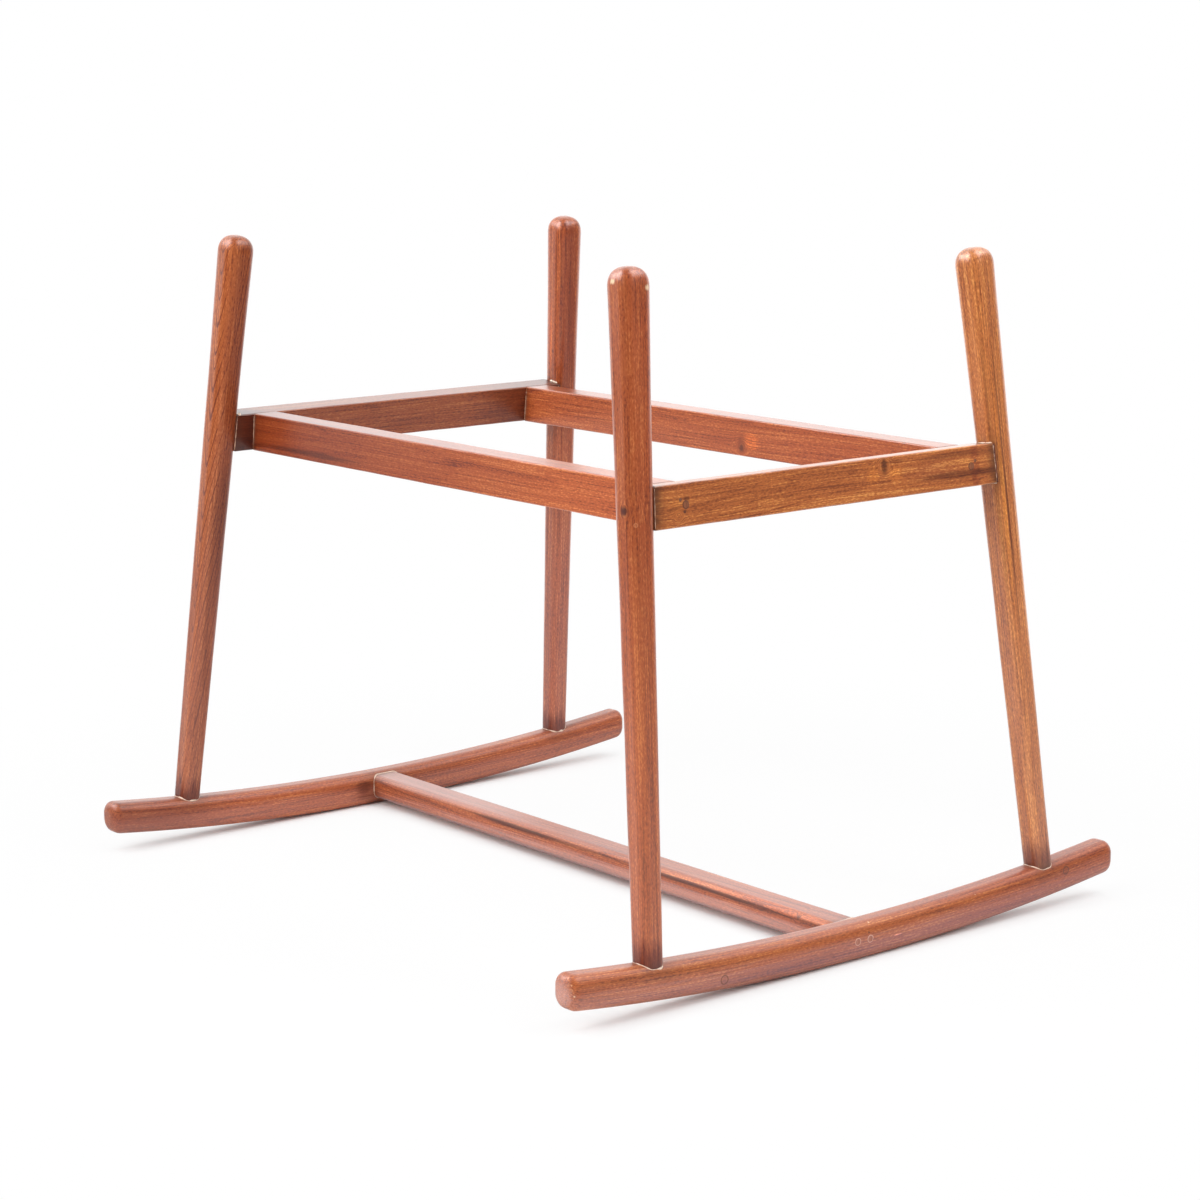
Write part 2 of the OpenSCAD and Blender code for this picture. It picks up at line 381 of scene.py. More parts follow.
def new_object(name: str, data: bpy.types.ID) -> bpy.types.Object:
    """Makes an object of this data and links it to the scene.

    Args:
        name: its name.
        data: its mesh, lamp or camera data.

    Returns:
        The object.
    """
    made = bpy.data.objects.new(name, data)
    bpy.context.scene.collection.objects.link(made)
    return made


@dataclass
class Loft:
    """A closed surface over a grid of rings, with a value or vector at each point."""

    name: str
    rings: Array
    layers: dict[str, Array]
    closed_along: bool = False

    def faces(self) -> list[list[int]]:
        """Quads between rings, and a fan of triangles at each open end.

        Returns:
            The corners of each face, as numbers of points.
        """
        count, size = self.rings.shape[:2]
        spans = count if self.closed_along else count - 1
        i = np.arange(spans)[:, None]
        j = np.arange(size)
        following = (j + 1) % size
        here, there = i * size, (i + 1) % count * size
        quads = np.stack([here + j, here + following, there + following, there + j], -1)
        found = quads.reshape(-1, 4).tolist()
        if not self.closed_along:
            low = np.full(size, count * size)
            last = (count - 1) * size
            found += np.stack([following, j, low], -1).tolist()
            found += np.stack([last + j, last + following, low + 1], -1).tolist()
        return found

    def with_centres(self, values: Array) -> Array:
        """Flattens a grid of values and adds the mean of each end ring.

        Args:
            values: a value or vector for each point of the grid.

        Returns:
            The same in one row, with those of the two end centres last.
        """
        flat = values.reshape(-1, *values.shape[2:])
        if self.closed_along:
            return flat
        return np.concatenate([flat, values[[0, -1]].mean(1)])

    def volume(self, points: Array, faces: list[list[int]]) -> float:
        """Six times the signed volume: the sum of a . (b x c) over fans of triangles.

        Args:
            points: the place of each point.
            faces: the corners of each face.

        Returns:
            The sum, which is over 0 where the faces point outwards.
        """
        fans = [[face[0], face[k], face[k + 1]] for face in faces for k in range(1, len(face) - 1)]
        a, b, c = (points[corner] for corner in np.array(fans).T)
        return float((a * np.cross(b, c)).sum())

    def build(self, sharp: float = 40.0) -> bpy.types.Object:
        """Makes the object, with its faces outwards.

        Args:
            sharp: edges that turn more than this many degrees stay crisp.

        Returns:
            The new object, linked to the scene.
        """
        points = self.with_centres(self.rings)
        faces = self.faces()
        if self.volume(points, faces) < 0:
            faces = [face[::-1] for face in faces]
        mesh = bpy.data.meshes.new(self.name)
        mesh.from_pydata(points, [], faces)
        mesh.polygons.foreach_set("use_smooth", np.ones(len(faces), bool))
        for name, values in self.layers.items():
            flat = self.with_centres(values).astype(np.float32)
            kind, key = ("FLOAT_VECTOR", "vector") if flat.ndim > 1 else ("FLOAT", "value")
            mesh.attributes.new(name, kind, "POINT").data.foreach_set(key, flat.ravel())
        mesh.set_sharp_from_angle(angle=math.radians(sharp))
        mesh.update()
        return new_object(self.name, mesh)


def join(name: str, made: list[bpy.types.Object]) -> bpy.types.Object:
    """Joins objects in one of this name.

    Args:
        name: the joined object's name.
        made: the objects.

    Returns:
        The joined object.
    """
    with bpy.context.temp_override(active_object=made[0], selected_editable_objects=made):
        bpy.ops.object.join()
    made[0].name = name
    return made[0]


def dress(piece: bpy.types.Object, material: bpy.types.Material, slot: Slot, *nodes: str) -> None:
    """Gives a piece its finish and its place in the frame.

    Args:
        piece: the new piece.
        material: its finish.
        slot: the record's slot that the finish belongs to; not used.
        nodes: the CAD nodes that it stands for.
    """
    piece.data.materials.append(material)
    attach(piece, ROOT)
    if nodes:
        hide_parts(*nodes)
    log.info("%s: %d faces", piece.name, len(piece.data.polygons))


def make_board(name: str, rings: Array, layers: dict[str, Array]) -> None:
    """Builds a piece of wood in place of the CAD node of this name, with its own finish."""
    piece = Loft("shaped_" + name, rings, layers).build()
    dress(piece, BOARDS[name].material("teak_" + name), Slot.TEAK, name)


class Graph:
    """Short ways to add and join the nodes of one material, world or node group."""

    def __init__(self, tree: bpy.types.NodeTree) -> None:
        """Works on this node tree."""
        self.tree = tree

    def node(self, kind: str, inputs: dict | None = None, **settings: object) -> bpy.types.Node:
        """Adds a node.

        Args:
            kind: the node's type.
            inputs: a value or a socket for each named or numbered input.
            settings: properties of the node itself.

        Returns:
            The node.
        """
        made = self.tree.nodes.new(kind)
        for key, value in settings.items():
            setattr(made, key, value)
        for key, value in (inputs or {}).items():
            self.put(made.inputs[key], value)
        return made

    def put(self, socket: Socket, value: object) -> None:
        """Joins a socket to an input, or sets the input's value.

        Args:
            socket: an input.
            value: a socket, a plain value, or None to leave the input alone.
        """
        if isinstance(value, bpy.types.NodeSocket):
            self.tree.links.new(value, socket)
        elif value is not None:
            socket.default_value = value

    def math(self, operation: str, a: object, b: object = None, c: object = None) -> Socket:
        """Result of a Math node."""
        return self.node("ShaderNodeMath", {0: a, 1: b, 2: c}, operation=operation).outputs[0]

    def times(self, value: object, *factors: object) -> Socket:
        """The product of several values.

        Args:
            value: the first one.
            factors: the others.

        Returns:
            The product.
        """
        for factor in factors:
            value = self.math("MULTIPLY", value, factor)
        return value

    def about_half(self, value: Socket, factor: object, base: object) -> Socket:
        """The base plus factor times what a value is over 0.5."""
        return self.math("MULTIPLY_ADD", self.math("SUBTRACT", value, 0.5), factor, base)

    def vector(self, operation: str, a: object, b: object = None, scale: object = None) -> Socket:
        """Result of a Vector Math node: a number for a length or dot product, and else a vector.

        Args:
            operation: the node's operation.
            a: its first vector.
            b: its second vector.
            scale: its scale, in place of the second vector.

        Returns:
            The output that the operation fills.
        """
        inputs = {0: a, 1: b} if scale is None else {0: a, "Scale": scale}
        made = self.node("ShaderNodeVectorMath", inputs, operation=operation)
        return made.outputs["Value" if operation in ("LENGTH", "DOT_PRODUCT") else "Vector"]

    def noise(
        self, vector: Socket, per_metre: Triple, detail: float = 2, rough: float = 0.5, output: str = "Fac"
    ) -> Socket:
        """A noise of mean 0.5, with its own count of features per metre along each axis.

        Args:
            vector: the place.
            per_metre: features per metre along each axis.
            detail: octaves of finer noise.
            rough: strength of each octave against the one before.
            output: the node's output to read.

        Returns:
            The noise.
        """
        place = self.vector("MULTIPLY", vector, per_metre)
        inputs = {"Vector": place, "Scale": 1.0, "Detail": detail, "Roughness": rough}
        return self.node("ShaderNodeTexNoise", inputs).outputs[output]

    def span(self, value: Socket, low: float, high: float, to_low: float = 0, to_high: float = 1) -> Socket:
        """A smooth step: to_low under low, to_high over high."""
        inputs = {"Value": value, "From Min": low, "From Max": high, "To Min": to_low, "To Max": to_high}
        return self.node("ShaderNodeMapRange", inputs, interpolation_type="SMOOTHSTEP").outputs["Result"]

    def mix(self, share: object, a: object, b: object, blend: str = "MIX") -> Socket:
        """Mixes two colours.

        Args:
            share: share of the second, from 0 to 1.
            a: the first.
            b: the second.
            blend: how the second meets the first.

        Returns:
            The mixed colour.
        """
        made = self.node("ShaderNodeMix", data_type="RGBA", blend_type=blend)
        for index, value in ((0, share), (6, a), (7, b)):
            self.put(made.inputs[index], value)
        return made.outputs[2]

    def attribute(self, name: str, key: str = "Fac") -> Socket:
        """A layer of the mesh, as a value or as a vector."""
        return self.node("ShaderNodeAttribute", attribute_name=name).outputs[key]

    def placed(self, group: str, values: dict[str, object]) -> bpy.types.NodeOutputs:
        """Places one of GROUPS with this material's own values, and gives its outputs.

        Args:
            group: its key in GROUPS.
            values: a value or socket for each input.

        Returns:
            Its outputs.
        """
        made = self.node("ShaderNodeGroup", node_tree=GROUPS[group])
        for key, value in values.items():
            self.put(made.inputs[key], value)
        return made.outputs

    def either(self, share: Socket, first: Socket, second: Socket) -> Socket:
        """The first shader where share is 0, and the second where it is 1."""
        return self.node("ShaderNodeMixShader", {0: share, 1: first, 2: second}).outputs[0]

    def backing(self, strength: float) -> Socket:
        """A plain white background of this strength."""
        return self.node("ShaderNodeBackground", {"Color": WHITE, "Strength": strength}).outputs[0]

    def bump(self, height: Socket, relief: float) -> Socket:
        """The normal of a surface with this height, from 0 to 1, and this share of BUMP_HEIGHT."""
        inputs = {"Height": height, "Strength": relief, "Distance": BUMP_HEIGHT}
        return self.node("ShaderNodeBump", inputs).outputs["Normal"]

    def finish(self, inputs: dict[str, object]) -> None:
        """Ends a material with a Principled shader that takes these inputs."""
        shader = self.node("ShaderNodeBsdfPrincipled", inputs)
        self.node("ShaderNodeOutputMaterial", {"Surface": shader.outputs[0]})


def new_material(name: str) -> tuple[bpy.types.Material, Graph]:
    """Starts a material that has no nodes yet.

    Args:
        name: its name.

    Returns:
        The material, and the graph of its nodes.
    """
    made = bpy.data.materials.new(name)
    made.use_nodes = True
    made.node_tree.nodes.clear()
    return made, Graph(made.node_tree)


def new_group(
    name: str, takes: dict[str, str], gives: dict[str, str]
) -> tuple[Graph, bpy.types.NodeOutputs, bpy.types.NodeInputs]:
    """Starts a shader node group.

    Args:
        name: its name.
        takes: the inputs' names, with spaces between, for each kind of socket.
        gives: the outputs' names in the same way.

    Returns:
        The group's graph, the sockets that bring its inputs, and those that take its outputs.
    """
    tree = bpy.data.node_groups.new(name, "ShaderNodeTree")
    for direction, sockets in (("INPUT", takes), ("OUTPUT", gives)):
        for kind, labels in sockets.items():
            for label in labels.split():
                tree.interface.new_socket(name=label, in_out=direction, socket_type="NodeSocket" + kind)
    graph = Graph(tree)
    return graph, graph.node("NodeGroupInput").outputs, graph.node("NodeGroupOutput").inputs


def ring_lines(graph: Graph, given: bpy.types.NodeOutputs, ring_at: Socket, lot: Socket) -> Socket:
    """The dark line at the end of each year's ring.

    The radius is the distance from the pith plus the taper times the place
    along. It is counted in rings, unevenly, and the line is late in each.

    Args:
        graph: the timber group's graph.
        given: the group's inputs.
        ring_at: the place in the log, bent by the drift of the grain.
        lot: the place that the noises read.

    Returns:
        The mask of the lines.
    """
    from_pith = graph.vector("SUBTRACT", ring_at, given["Pith"])
    radius = graph.vector("LENGTH", graph.vector("MULTIPLY", from_pith, (1, 1, 0)))
    along = graph.node("ShaderNodeSeparateXYZ", {0: given["Grain"]}).outputs[2]
    radius = graph.math("MULTIPLY_ADD", along, given["Taper"], radius)
    inputs = {"W": graph.times(radius, 170.0), "Scale": 1.0, "Detail": 1.0}
    uneven = graph.node("ShaderNodeTexNoise", inputs, noise_dimensions="1D").outputs[0]
    count = graph.math("MULTIPLY_ADD", uneven, 1.6, graph.math("DIVIDE", radius, given["Ring"]))
    in_ring = graph.math("FRACT", count)
    line = graph.times(graph.span(in_ring, 0.76, 0.95), graph.span(in_ring, 0.95, 1.0, 1, 0))
    patchy = graph.noise(lot, (60, 60, 5))
    return graph.times(line, graph.span(patchy, 0.35, 0.65, 0.1, 1.0))


def timber_group() -> bpy.types.NodeTree:
    """Colour, roughness and height of teak.

    Rings are circles round a pith, widened along the log, with a dark line at
    the end of each. Long noises give the fibres and the broad streaks, and a
    short one gives the pores.

    Returns:
        The node group.
    """
    graph, given, result = new_group(
        "timber_grain",
        {
            "Vector": "Grain Lot Pith",
            "Color": "Pale Middle Dark",
            "Float": "Ring Taper Wander Ringed Streaked Fibred Pored",
        },
        {"Color": "Color", "Float": "Roughness Height"},
    )
    lot = graph.vector("ADD", given["Grain"], given["Lot"])
    drift = graph.noise(lot, (9, 9, 3.2), 1.5, output="Color")
    sideways = graph.vector("MULTIPLY", graph.vector("SUBTRACT", drift, (0.5, 0.5, 0.5)), (1, 1, 0))
    push = graph.vector("SCALE", sideways, scale=given["Wander"])
    fibre_at = graph.vector("ADD", lot, push)
    late = ring_lines(graph, given, graph.vector("ADD", given["Grain"], push), lot)

    long_lines = graph.noise(fibre_at, (820, 820, 7), 1)
    short_lines = graph.noise(fibre_at, (900, 900, 320), 1)
    fibre = graph.math("MULTIPLY_ADD", long_lines, 0.5, graph.times(short_lines, 0.5))
    broad = graph.noise(fibre_at, (120, 120, 4.5), 2.5, 0.55)
    pores = graph.span(graph.noise(fibre_at, (1300, 1300, 240), 1), 0.56, 0.68)
    depth = graph.times(pores, given["Pored"])

    tone = graph.about_half(fibre, given["Fibred"], 0.5)
    tone = graph.about_half(broad, given["Streaked"], tone)
    tone = graph.math("SUBTRACT", tone, graph.times(late, given["Ringed"]))
    colour = graph.mix(graph.span(tone, 0.0, 0.5), given["Dark"], given["Middle"])
    colour = graph.mix(graph.span(tone, 0.5, 1.0), colour, given["Pale"])
    rough = graph.math("MULTIPLY_ADD", pores, 0.12, graph.math("MULTIPLY_ADD", fibre, 0.1, 0.36))
    graph.put(result["Color"], graph.mix(depth, colour, given["Dark"]))
    graph.put(result["Roughness"], rough)
    graph.put(result["Height"], graph.math("SUBTRACT", graph.times(fibre, 0.5), graph.times(depth, 0.8)))
    return graph.tree


def knot_group() -> bpy.types.NodeTree:
    """A knot: fibres part round it, and its core is dark and ringed.

    The distance from the centre, in sizes, counts only along the axes of Across,
    so a knot runs through the piece along the other one. Fibres move outwards by
    Size times Push times exp(-(0.42 distance) squared).

    Returns:
        The node group.
    """
    graph, given, result = new_group(
        "knot",
        {"Vector": "Grain Centre Across", "Float": "Size Push"},
        {"Vector": "Grain", "Float": "Core Halo"},
    )
    offset = graph.vector("SUBTRACT", given["Grain"], given["Centre"])
    flat = graph.vector("MULTIPLY", offset, given["Across"])
    distance = graph.math("DIVIDE", graph.vector("LENGTH", flat), given["Size"])
    uneven = graph.noise(given["Grain"], (330, 330, 330), 2, 0.6)
    distance = graph.math("MAXIMUM", graph.about_half(uneven, 1.1, distance), 0.0)
    wide = graph.times(distance, 0.42)
    fade = graph.math("EXPONENT", graph.times(wide, wide, -1.0))
    reach = graph.times(fade, given["Size"], given["Push"])
    shift = graph.vector("SCALE", graph.vector("NORMALIZE", flat), scale=reach)
    rings = graph.math("SINE", graph.times(distance, 14.0))
    core = graph.math("MULTIPLY_ADD", rings, 0.05, graph.span(distance, 0.3, 1.15, 0.95, 0.0))
    graph.put(result["Grain"], graph.vector("SUBTRACT", given["Grain"], shift))
    graph.put(result["Core"], graph.times(core, graph.span(distance, 0.9, 1.25, 1.0, 0.0)))
    graph.put(result["Halo"], graph.math("EXPONENT", graph.times(distance, distance, -1.0)))
    return graph.tree


def wear_and_highlight_group() -> bpy.types.NodeTree:
    """Lighter edges, partly where the varnish is thin and partly a painted highlight: the edge layer broken
    up by noise.

    Returns:
        The node group.
    """
    takes = {"Vector": "Grain", "Float": "Edge Amount"}
    graph, given, result = new_group("edge_rub", takes, {"Float": "Mask"})
    broken = graph.span(graph.noise(given["Grain"], (160, 160, 28), 3, 0.65), 0.35, 0.75)
    graph.put(result["Mask"], graph.times(given["Edge"], broken, given["Amount"]))
    return graph.tree


def painted_shade_group() -> bpy.types.NodeTree:
    """Painted shade beside joints, in the creases where the parts meet.

    Returns:
        The node group.
    """
    graph, given, result = new_group(
        "joint_stain", {"Vector": "Grain", "Color": "Color Tint", "Float": "Stain"}, {"Color": "Color"}
    )
    uneven = graph.span(graph.noise(given["Grain"], (120, 120, 60), 2, 0.6), 0.2, 0.8, 0.6, 1.2)
    graph.put(result["Color"], graph.mix(graph.times(given["Stain"], uneven), given["Color"], given["Tint"]))
    return graph.tree


def streak_group() -> bpy.types.NodeTree:
    """A soft patch round a centre, with its own reach each way, torn along the fibres.

    Returns:
        The node group.
    """
    takes = {"Vector": "Grain Centre Reach", "Float": "Torn"}
    graph, given, result = new_group("streak", takes, {"Float": "Mask"})
    offset = graph.vector("SUBTRACT", given["Grain"], given["Centre"])
    distance = graph.vector("LENGTH", graph.vector("DIVIDE", offset, given["Reach"]))
    noise = graph.noise(given["Grain"], (420, 420, 13), 2, 0.6)
    ragged = graph.about_half(noise, given["Torn"], distance)
    graph.put(result["Mask"], graph.span(ragged, 0.3, 1.0, 1.0, 0.0))
    return graph.tree


def mark_group() -> bpy.types.NodeTree:
    """A thin ring or a dot on the surface, such as a filled hole.

    Returns:
        The node group.
    """
    graph, given, result = new_group(
        "round_mark", {"Vector": "Grain Centre Across", "Float": "Radius Line"}, {"Float": "Ring Inside"}
    )
    offset = graph.vector("SUBTRACT", given["Grain"], given["Centre"])
    distance = graph.vector("LENGTH", graph.vector("MULTIPLY", offset, given["Across"]))
    off_line = graph.math("ABSOLUTE", graph.math("SUBTRACT", distance, given["Radius"]))
    share = graph.math("DIVIDE", off_line, given["Line"])
    inside = graph.math("DIVIDE", distance, given["Radius"])
    graph.put(result["Ring"], graph.span(share, 0.3, 1.0, 1.0, 0.0))
    graph.put(result["Inside"], graph.span(inside, 0.8, 1.05, 1.0, 0.0))
    return graph.tree


GROUPS = {
    "timber": timber_group(),
    "knot": knot_group(),
    "wear_and_highlight": wear_and_highlight_group(),
    "stain": painted_shade_group(),
    "streak": streak_group(),
    "mark": mark_group(),
}


@dataclass(frozen=True)
class Knot:
    """A knot, at a place in its piece's grain layer, in millimetres."""

    centre: Triple
    across: Triple
    size: float
    push: float
    strength: float


@dataclass(frozen=True)
class Streak:
    """A patch of another tone, with its place and half sizes in its piece's grain layer, in millimetres.

    A tint multiplies the wood's colour, and 255 leaves it as it is.
    """

    centre: Triple
    reach: Triple
    colour: Triple
    strength: float = 0.6
    torn: float = 1.2
    blend: Blend = Blend.TINT


@dataclass(frozen=True)
class Mark:
    """A ring or dot on the surface, at a place in its piece's grain layer, in millimetres."""

    centre: Triple
    across: Triple
    radius: float
    line: float
    colour: Triple
    ring: float
    inside: float


@dataclass(frozen=True)
class Timber:
    """The finish of one board: oiled and varnished teak."""

    pale: Triple
    middle: Triple
    dark: Triple
    lot: int = 0
    tone: float = 1.0
    pith: tuple[float, float] = (0.035, 0.012)
    ring: float = 0.0042
    taper: float = 0.010
    wander: float = 0.010
    ringed: float = 0.3
    streaked: float = 0.65
    fibred: float = 2.4
    pored: float = 0.22
    coat_roughness: float = 0.32
    coat_ior: float = 1.55
    specular: float = 0.12
    wear_and_highlight_share: float = 0.35
    relief: float = 0.35
    halo: float = 0.45
    core_share: float = 0.25
    # darkness of the painted shade beside joints
    stain_share: float = 0.24
    lot_step: Triple = (0.31, 0.17, 0.73)
    knots: tuple[Knot, ...] = ()
    streaks: tuple[Streak, ...] = ()
    marks: tuple[Mark, ...] = ()

    def shade(self, colour: Triple, share: float = 1.0) -> Rgba:
        """A colour of the wood, linear, times this board's tone and a share."""
        return (*(part * self.tone * share for part in linear(colour)[:3]), 1.0)

    def lay_streaks(self, graph: Graph, grain: Socket, colour: Socket) -> Socket:
        """Lays the streaks over the colour.

        Args:
            graph: the material's graph.
            grain: the grain layer.
            colour: the colour under them.

        Returns:
            The colour with them.
        """
        for streak in self.streaks:
            values = {"Centre": metres(streak.centre), "Reach": metres(streak.reach), "Torn": streak.torn}
            mask = graph.placed("streak", {"Grain": grain, **values})["Mask"]
            share = graph.times(mask, streak.strength)
            colour = graph.mix(share, colour, linear(streak.colour), streak.blend.value)
        return colour

    def lay_marks(self, graph: Graph, grain: Socket, colour: Socket) -> Socket:
        """Lays the rings and dots over the colour.

        Args:
            graph: the material's graph.
            grain: the grain layer.
            colour: the colour under them.

        Returns:
            The colour with them.
        """
        for mark in self.marks:
            values = {"Centre": metres(mark.centre), "Across": mark.across}
            sizes = {"Radius": mark.radius * MM, "Line": mark.line * MM}
            drawn = graph.placed("mark", {"Grain": grain, **values, **sizes})
            ring = graph.times(drawn["Ring"], mark.ring)
            share = graph.math("MAXIMUM", ring, graph.times(drawn["Inside"], mark.inside))
            colour = graph.mix(share, colour, linear(mark.colour))
        return colour

    def material(self, name: str) -> bpy.types.Material:
        """Builds the material: knots bend the grain, and the rest lies over its colour.

        Args:
            name: the material's name.

        Returns:
            The material.
        """
        made, graph = new_material(name)
        start = graph.attribute("grain", "Vector")
        grain = start
        bends = []
        for knot in self.knots:
            values = {"Centre": metres(knot.centre), "Across": knot.across}
            sizes = {"Size": knot.size * MM, "Push": knot.push}
            bends.append(graph.placed("knot", {"Grain": grain, **values, **sizes}))
            grain = bends[-1]["Grain"]
        dark, pale = self.shade(self.dark), self.shade(self.pale)
        core = self.shade(self.dark, self.core_share)
        lot = tuple(self.lot * step for step in self.lot_step)
        wood = graph.placed("timber", {
            "Grain": grain, "Lot": lot, "Pith": (*self.pith, 0.0),
            "Pale": pale, "Middle": self.shade(self.middle), "Dark": dark,
            "Ring": self.ring, "Taper": self.taper, "Wander": self.wander, "Ringed": self.ringed,
            "Streaked": self.streaked, "Fibred": self.fibred, "Pored": self.pored,
        })
        colour = self.lay_streaks(graph, start, wood["Color"])
        for knot, bent in zip(self.knots, bends):
            colour = graph.mix(graph.times(bent["Halo"], self.halo * knot.strength), colour, dark)
            colour = graph.mix(graph.times(bent["Core"], knot.strength), colour, core)
        colour = self.lay_marks(graph, start, colour)
        # painted shade: the wood darkens beside joints, where the creases lie in shade
        shaded = graph.placed("stain", {
            "Color": colour, "Stain": graph.attribute("stain"), "Grain": start,
            "Tint": self.shade(self.middle, self.stain_share),
        })
        # edges mixed towards the pale colour: partly worn varnish, partly a painted highlight
        wear_and_highlight = graph.placed("wear_and_highlight", {"Edge": graph.attribute("edge"), "Grain": start, "Amount": self.wear_and_highlight_share})
        graph.finish({
            "Base Color": graph.mix(wear_and_highlight["Mask"], shaded["Color"], pale), "Roughness": wood["Roughness"],
            "Coat Weight": 1.0, "Coat Roughness": self.coat_roughness, "Coat IOR": self.coat_ior,
            "Specular IOR Level": self.specular, "Normal": graph.bump(wood["Height"], self.relief),
        })
        return made


@dataclass(frozen=True)
class Speck:
    """The finish of a small piece on the wood: a plug, a filled hole or dried glue."""

    name: str
    colour: Triple
    other: Triple
    rim: Triple
    roughness: float
    relief: float = 0.3
    per_metre: Triple = (400, 400, 60)

    def material(self) -> bpy.types.Material:
        """Builds the material: noise between two colours, and a rim colour at the edge layer.

        Returns:
            The material.
        """
        made, graph = new_material(self.name)
        noise = graph.noise(graph.attribute("grain", "Vector"), self.per_metre, 3, 0.6)
        colour = graph.mix(graph.span(noise, 0.35, 0.65), linear(self.colour), linear(self.other))
        graph.finish({
            "Base Color": graph.mix(graph.attribute("edge"), colour, linear(self.rim)),
            "Roughness": self.roughness, "Coat Weight": 0.6, "Coat Roughness": 0.2,
            "Normal": graph.bump(noise, self.relief),
        })
        return made


@dataclass(frozen=True)
class HiddenFinish:
    """The finish of a fastener inside the wood, on its CAD node."""

    name: str
    low: Triple
    high: Triple
    metallic: float
    roughness: float
    per_metre: Triple
    spread: float = 0.08

    def material(self) -> bpy.types.Material:
        """Builds the material: noise on object coordinates between two tones.

        Returns:
            The material.
        """
        made, graph = new_material(self.name)
        where = graph.node("ShaderNodeTexCoord").outputs["Object"]
        noise = graph.noise(where, self.per_metre, 3, 0.6)
        least, most = self.roughness - self.spread, self.roughness + self.spread
        graph.finish({
            "Base Color": graph.mix(graph.span(noise, 0.3, 0.7), linear(self.low), linear(self.high)),
            "Roughness": graph.span(noise, 0.2, 0.8, least, most),
            "Metallic": self.metallic,
        })
        return made


# How far each post's top stands over the CAD's, which has their mean height.
POST_TRIMS = {
    (Side.LEFT, End.FRONT): -3.6 * MM,
    (Side.LEFT, End.BACK): -2.6 * MM,
    (Side.RIGHT, End.FRONT): 2.3 * MM,
    (Side.RIGHT, End.BACK): -2.0 * MM,
}


@dataclass
class Posts:
    """The four leaning posts: rounded squares that flare to a domed top."""

    dome: float = 17 * MM
    dome_power: float = 0.84
    corner_share: float = 0.35
    sunk: float = 0.4 * MM
    uneven: float = 0.22 * MM
    wear_and_highlight_share: float = 0.4
    # painted shade on each post beside the rails and at its foot
    rail_stain: Stain = Stain(0.5, 5 * MM)
    foot_stain: Stain = Stain(0.45, 7 * MM)
    stations: int = 150
    dome_steps: int = 18
    foot_rounds: int = 12
    seed: int = 11
    outline: Outline = field(default_factory=lambda: Outline.make(flat=8, corner=9))

    def width(self, t: Array) -> Array:
        """Width at a place t: a steady taper, and a square flare above the rails.

        Args:
            t: places along the axis, from the rails' top.

        Returns:
            The widths.
        """
        taper = (LAYOUT.post_width - LAYOUT.post_foot_width) / -LAYOUT.foot_t
        top = LAYOUT.crown_t
        flare = (LAYOUT.post_top_width - LAYOUT.post_width - taper * top) / top**2
        return LAYOUT.post_width + taper * t + np.where(t > 0, flare * t**2, 0)

    def inner_face(self, w: Array) -> Array:
        """Distance from the middle of the stand at which a post's inner face stands at height w."""
        cos, tan = math.cos(LAYOUT.lean_side), math.tan(LAYOUT.lean_side)
        return LAYOUT.post_y - w * tan - self.width(w) / 2 / cos

    def recess(self, u: Array) -> Array:
        """How far a post's rounded corner stands behind its flat at u across, beside the rails.

        Args:
            u: places across the post from its axis.

        Returns:
            The depths.
        """
        radius = LAYOUT.post_width * self.corner_share
        beyond = np.clip(np.abs(u) - (LAYOUT.post_width / 2 - radius), 0, radius * 0.99)
        return radius - np.sqrt(radius**2 - beyond**2)

    def skin(self, t: Array) -> tuple[Array, Array]:
        """Points across the post at places t, which end in the axis round the outline."""
        half = self.width(t) / 2
        return self.outline.at(half, half, 2 * half * self.corner_share)

    def foot(self) -> Array:
        """Place along the axis at which each line of the skin meets the rocker.

        Starts at the foot's own place and steps down by the height that is
        left over the rocker's top, which settles at once as that is nearly flat.

        Returns:
            The place t for each point round the outline.
        """
        t = np.full(self.outline.edge.shape, LAYOUT.foot_t)
        for _ in range(self.foot_rounds):
            across, along = self.skin(t)
            point = LAYOUT.on_post(across, along, t, Side.RIGHT, End.BACK)
            left = point[..., 2] - LAYOUT.rocker_skin(point[..., 0], point[..., 1])
            t = t - left / LAYOUT.axis_rise
        return t

    def build_one(self, side: Side, end: End, trim: float, seed: int) -> None:
        """Builds one post.

        The outline runs from the coped foot to the shoulder, and then shrinks
        by cos to the power while it climbs by sin to the power of the dome.

        Args:
            side: which end of the stand.
            end: front or back.
            trim: how far its top stands over the frame's, in metres.
            seed: start of its random draws.
        """
        half = LAYOUT.post_width / 2
        foot = self.foot() - self.sunk
        shoulder = LAYOUT.crown_t + trim - self.dome
        shaft = foot + (shoulder - foot) * np.linspace(0, 1, self.stations)[:, None]
        angle = (np.arange(1, self.dome_steps) / self.dome_steps * np.pi / 2)[:, None]
        shrink = np.concatenate([np.ones_like(shaft), np.cos(angle) ** self.dome_power * np.ones_like(foot)])
        climb = self.dome * np.sin(angle) ** self.dome_power * np.ones_like(foot)
        t = np.concatenate([shaft, shoulder + climb])
        proud = 1 + waver(t, self.outline.turns(t), self.uneven, seed) / half
        across, along = (part * shrink * proud for part in self.skin(np.minimum(t, shoulder)))
        from_rail = np.abs(t + LAYOUT.rail_height / 2) - LAYOUT.rail_height / 2
        # painted shade on the inner side of the post beside the rails
        beside_rail = self.rail_stain.over(np.clip(from_rail, 0, None)) * np.clip(-along / half, 0, 1)
        make_board(named("post", end, side), LAYOUT.on_post(across, along, t, side, end), {
            "grain": np.stack([across, along, t], -1),
            "edge": self.outline.rim(t, self.wear_and_highlight_share),
            "stain": np.clip(beside_rail + self.foot_stain.over(t - LAYOUT.foot_t), 0, 1),
        })

    def build(self) -> None:
        """Builds the four posts."""
        for index, ((side, end), trim) in enumerate(POST_TRIMS.items()):
            self.build_one(side, end, trim, self.seed + index)


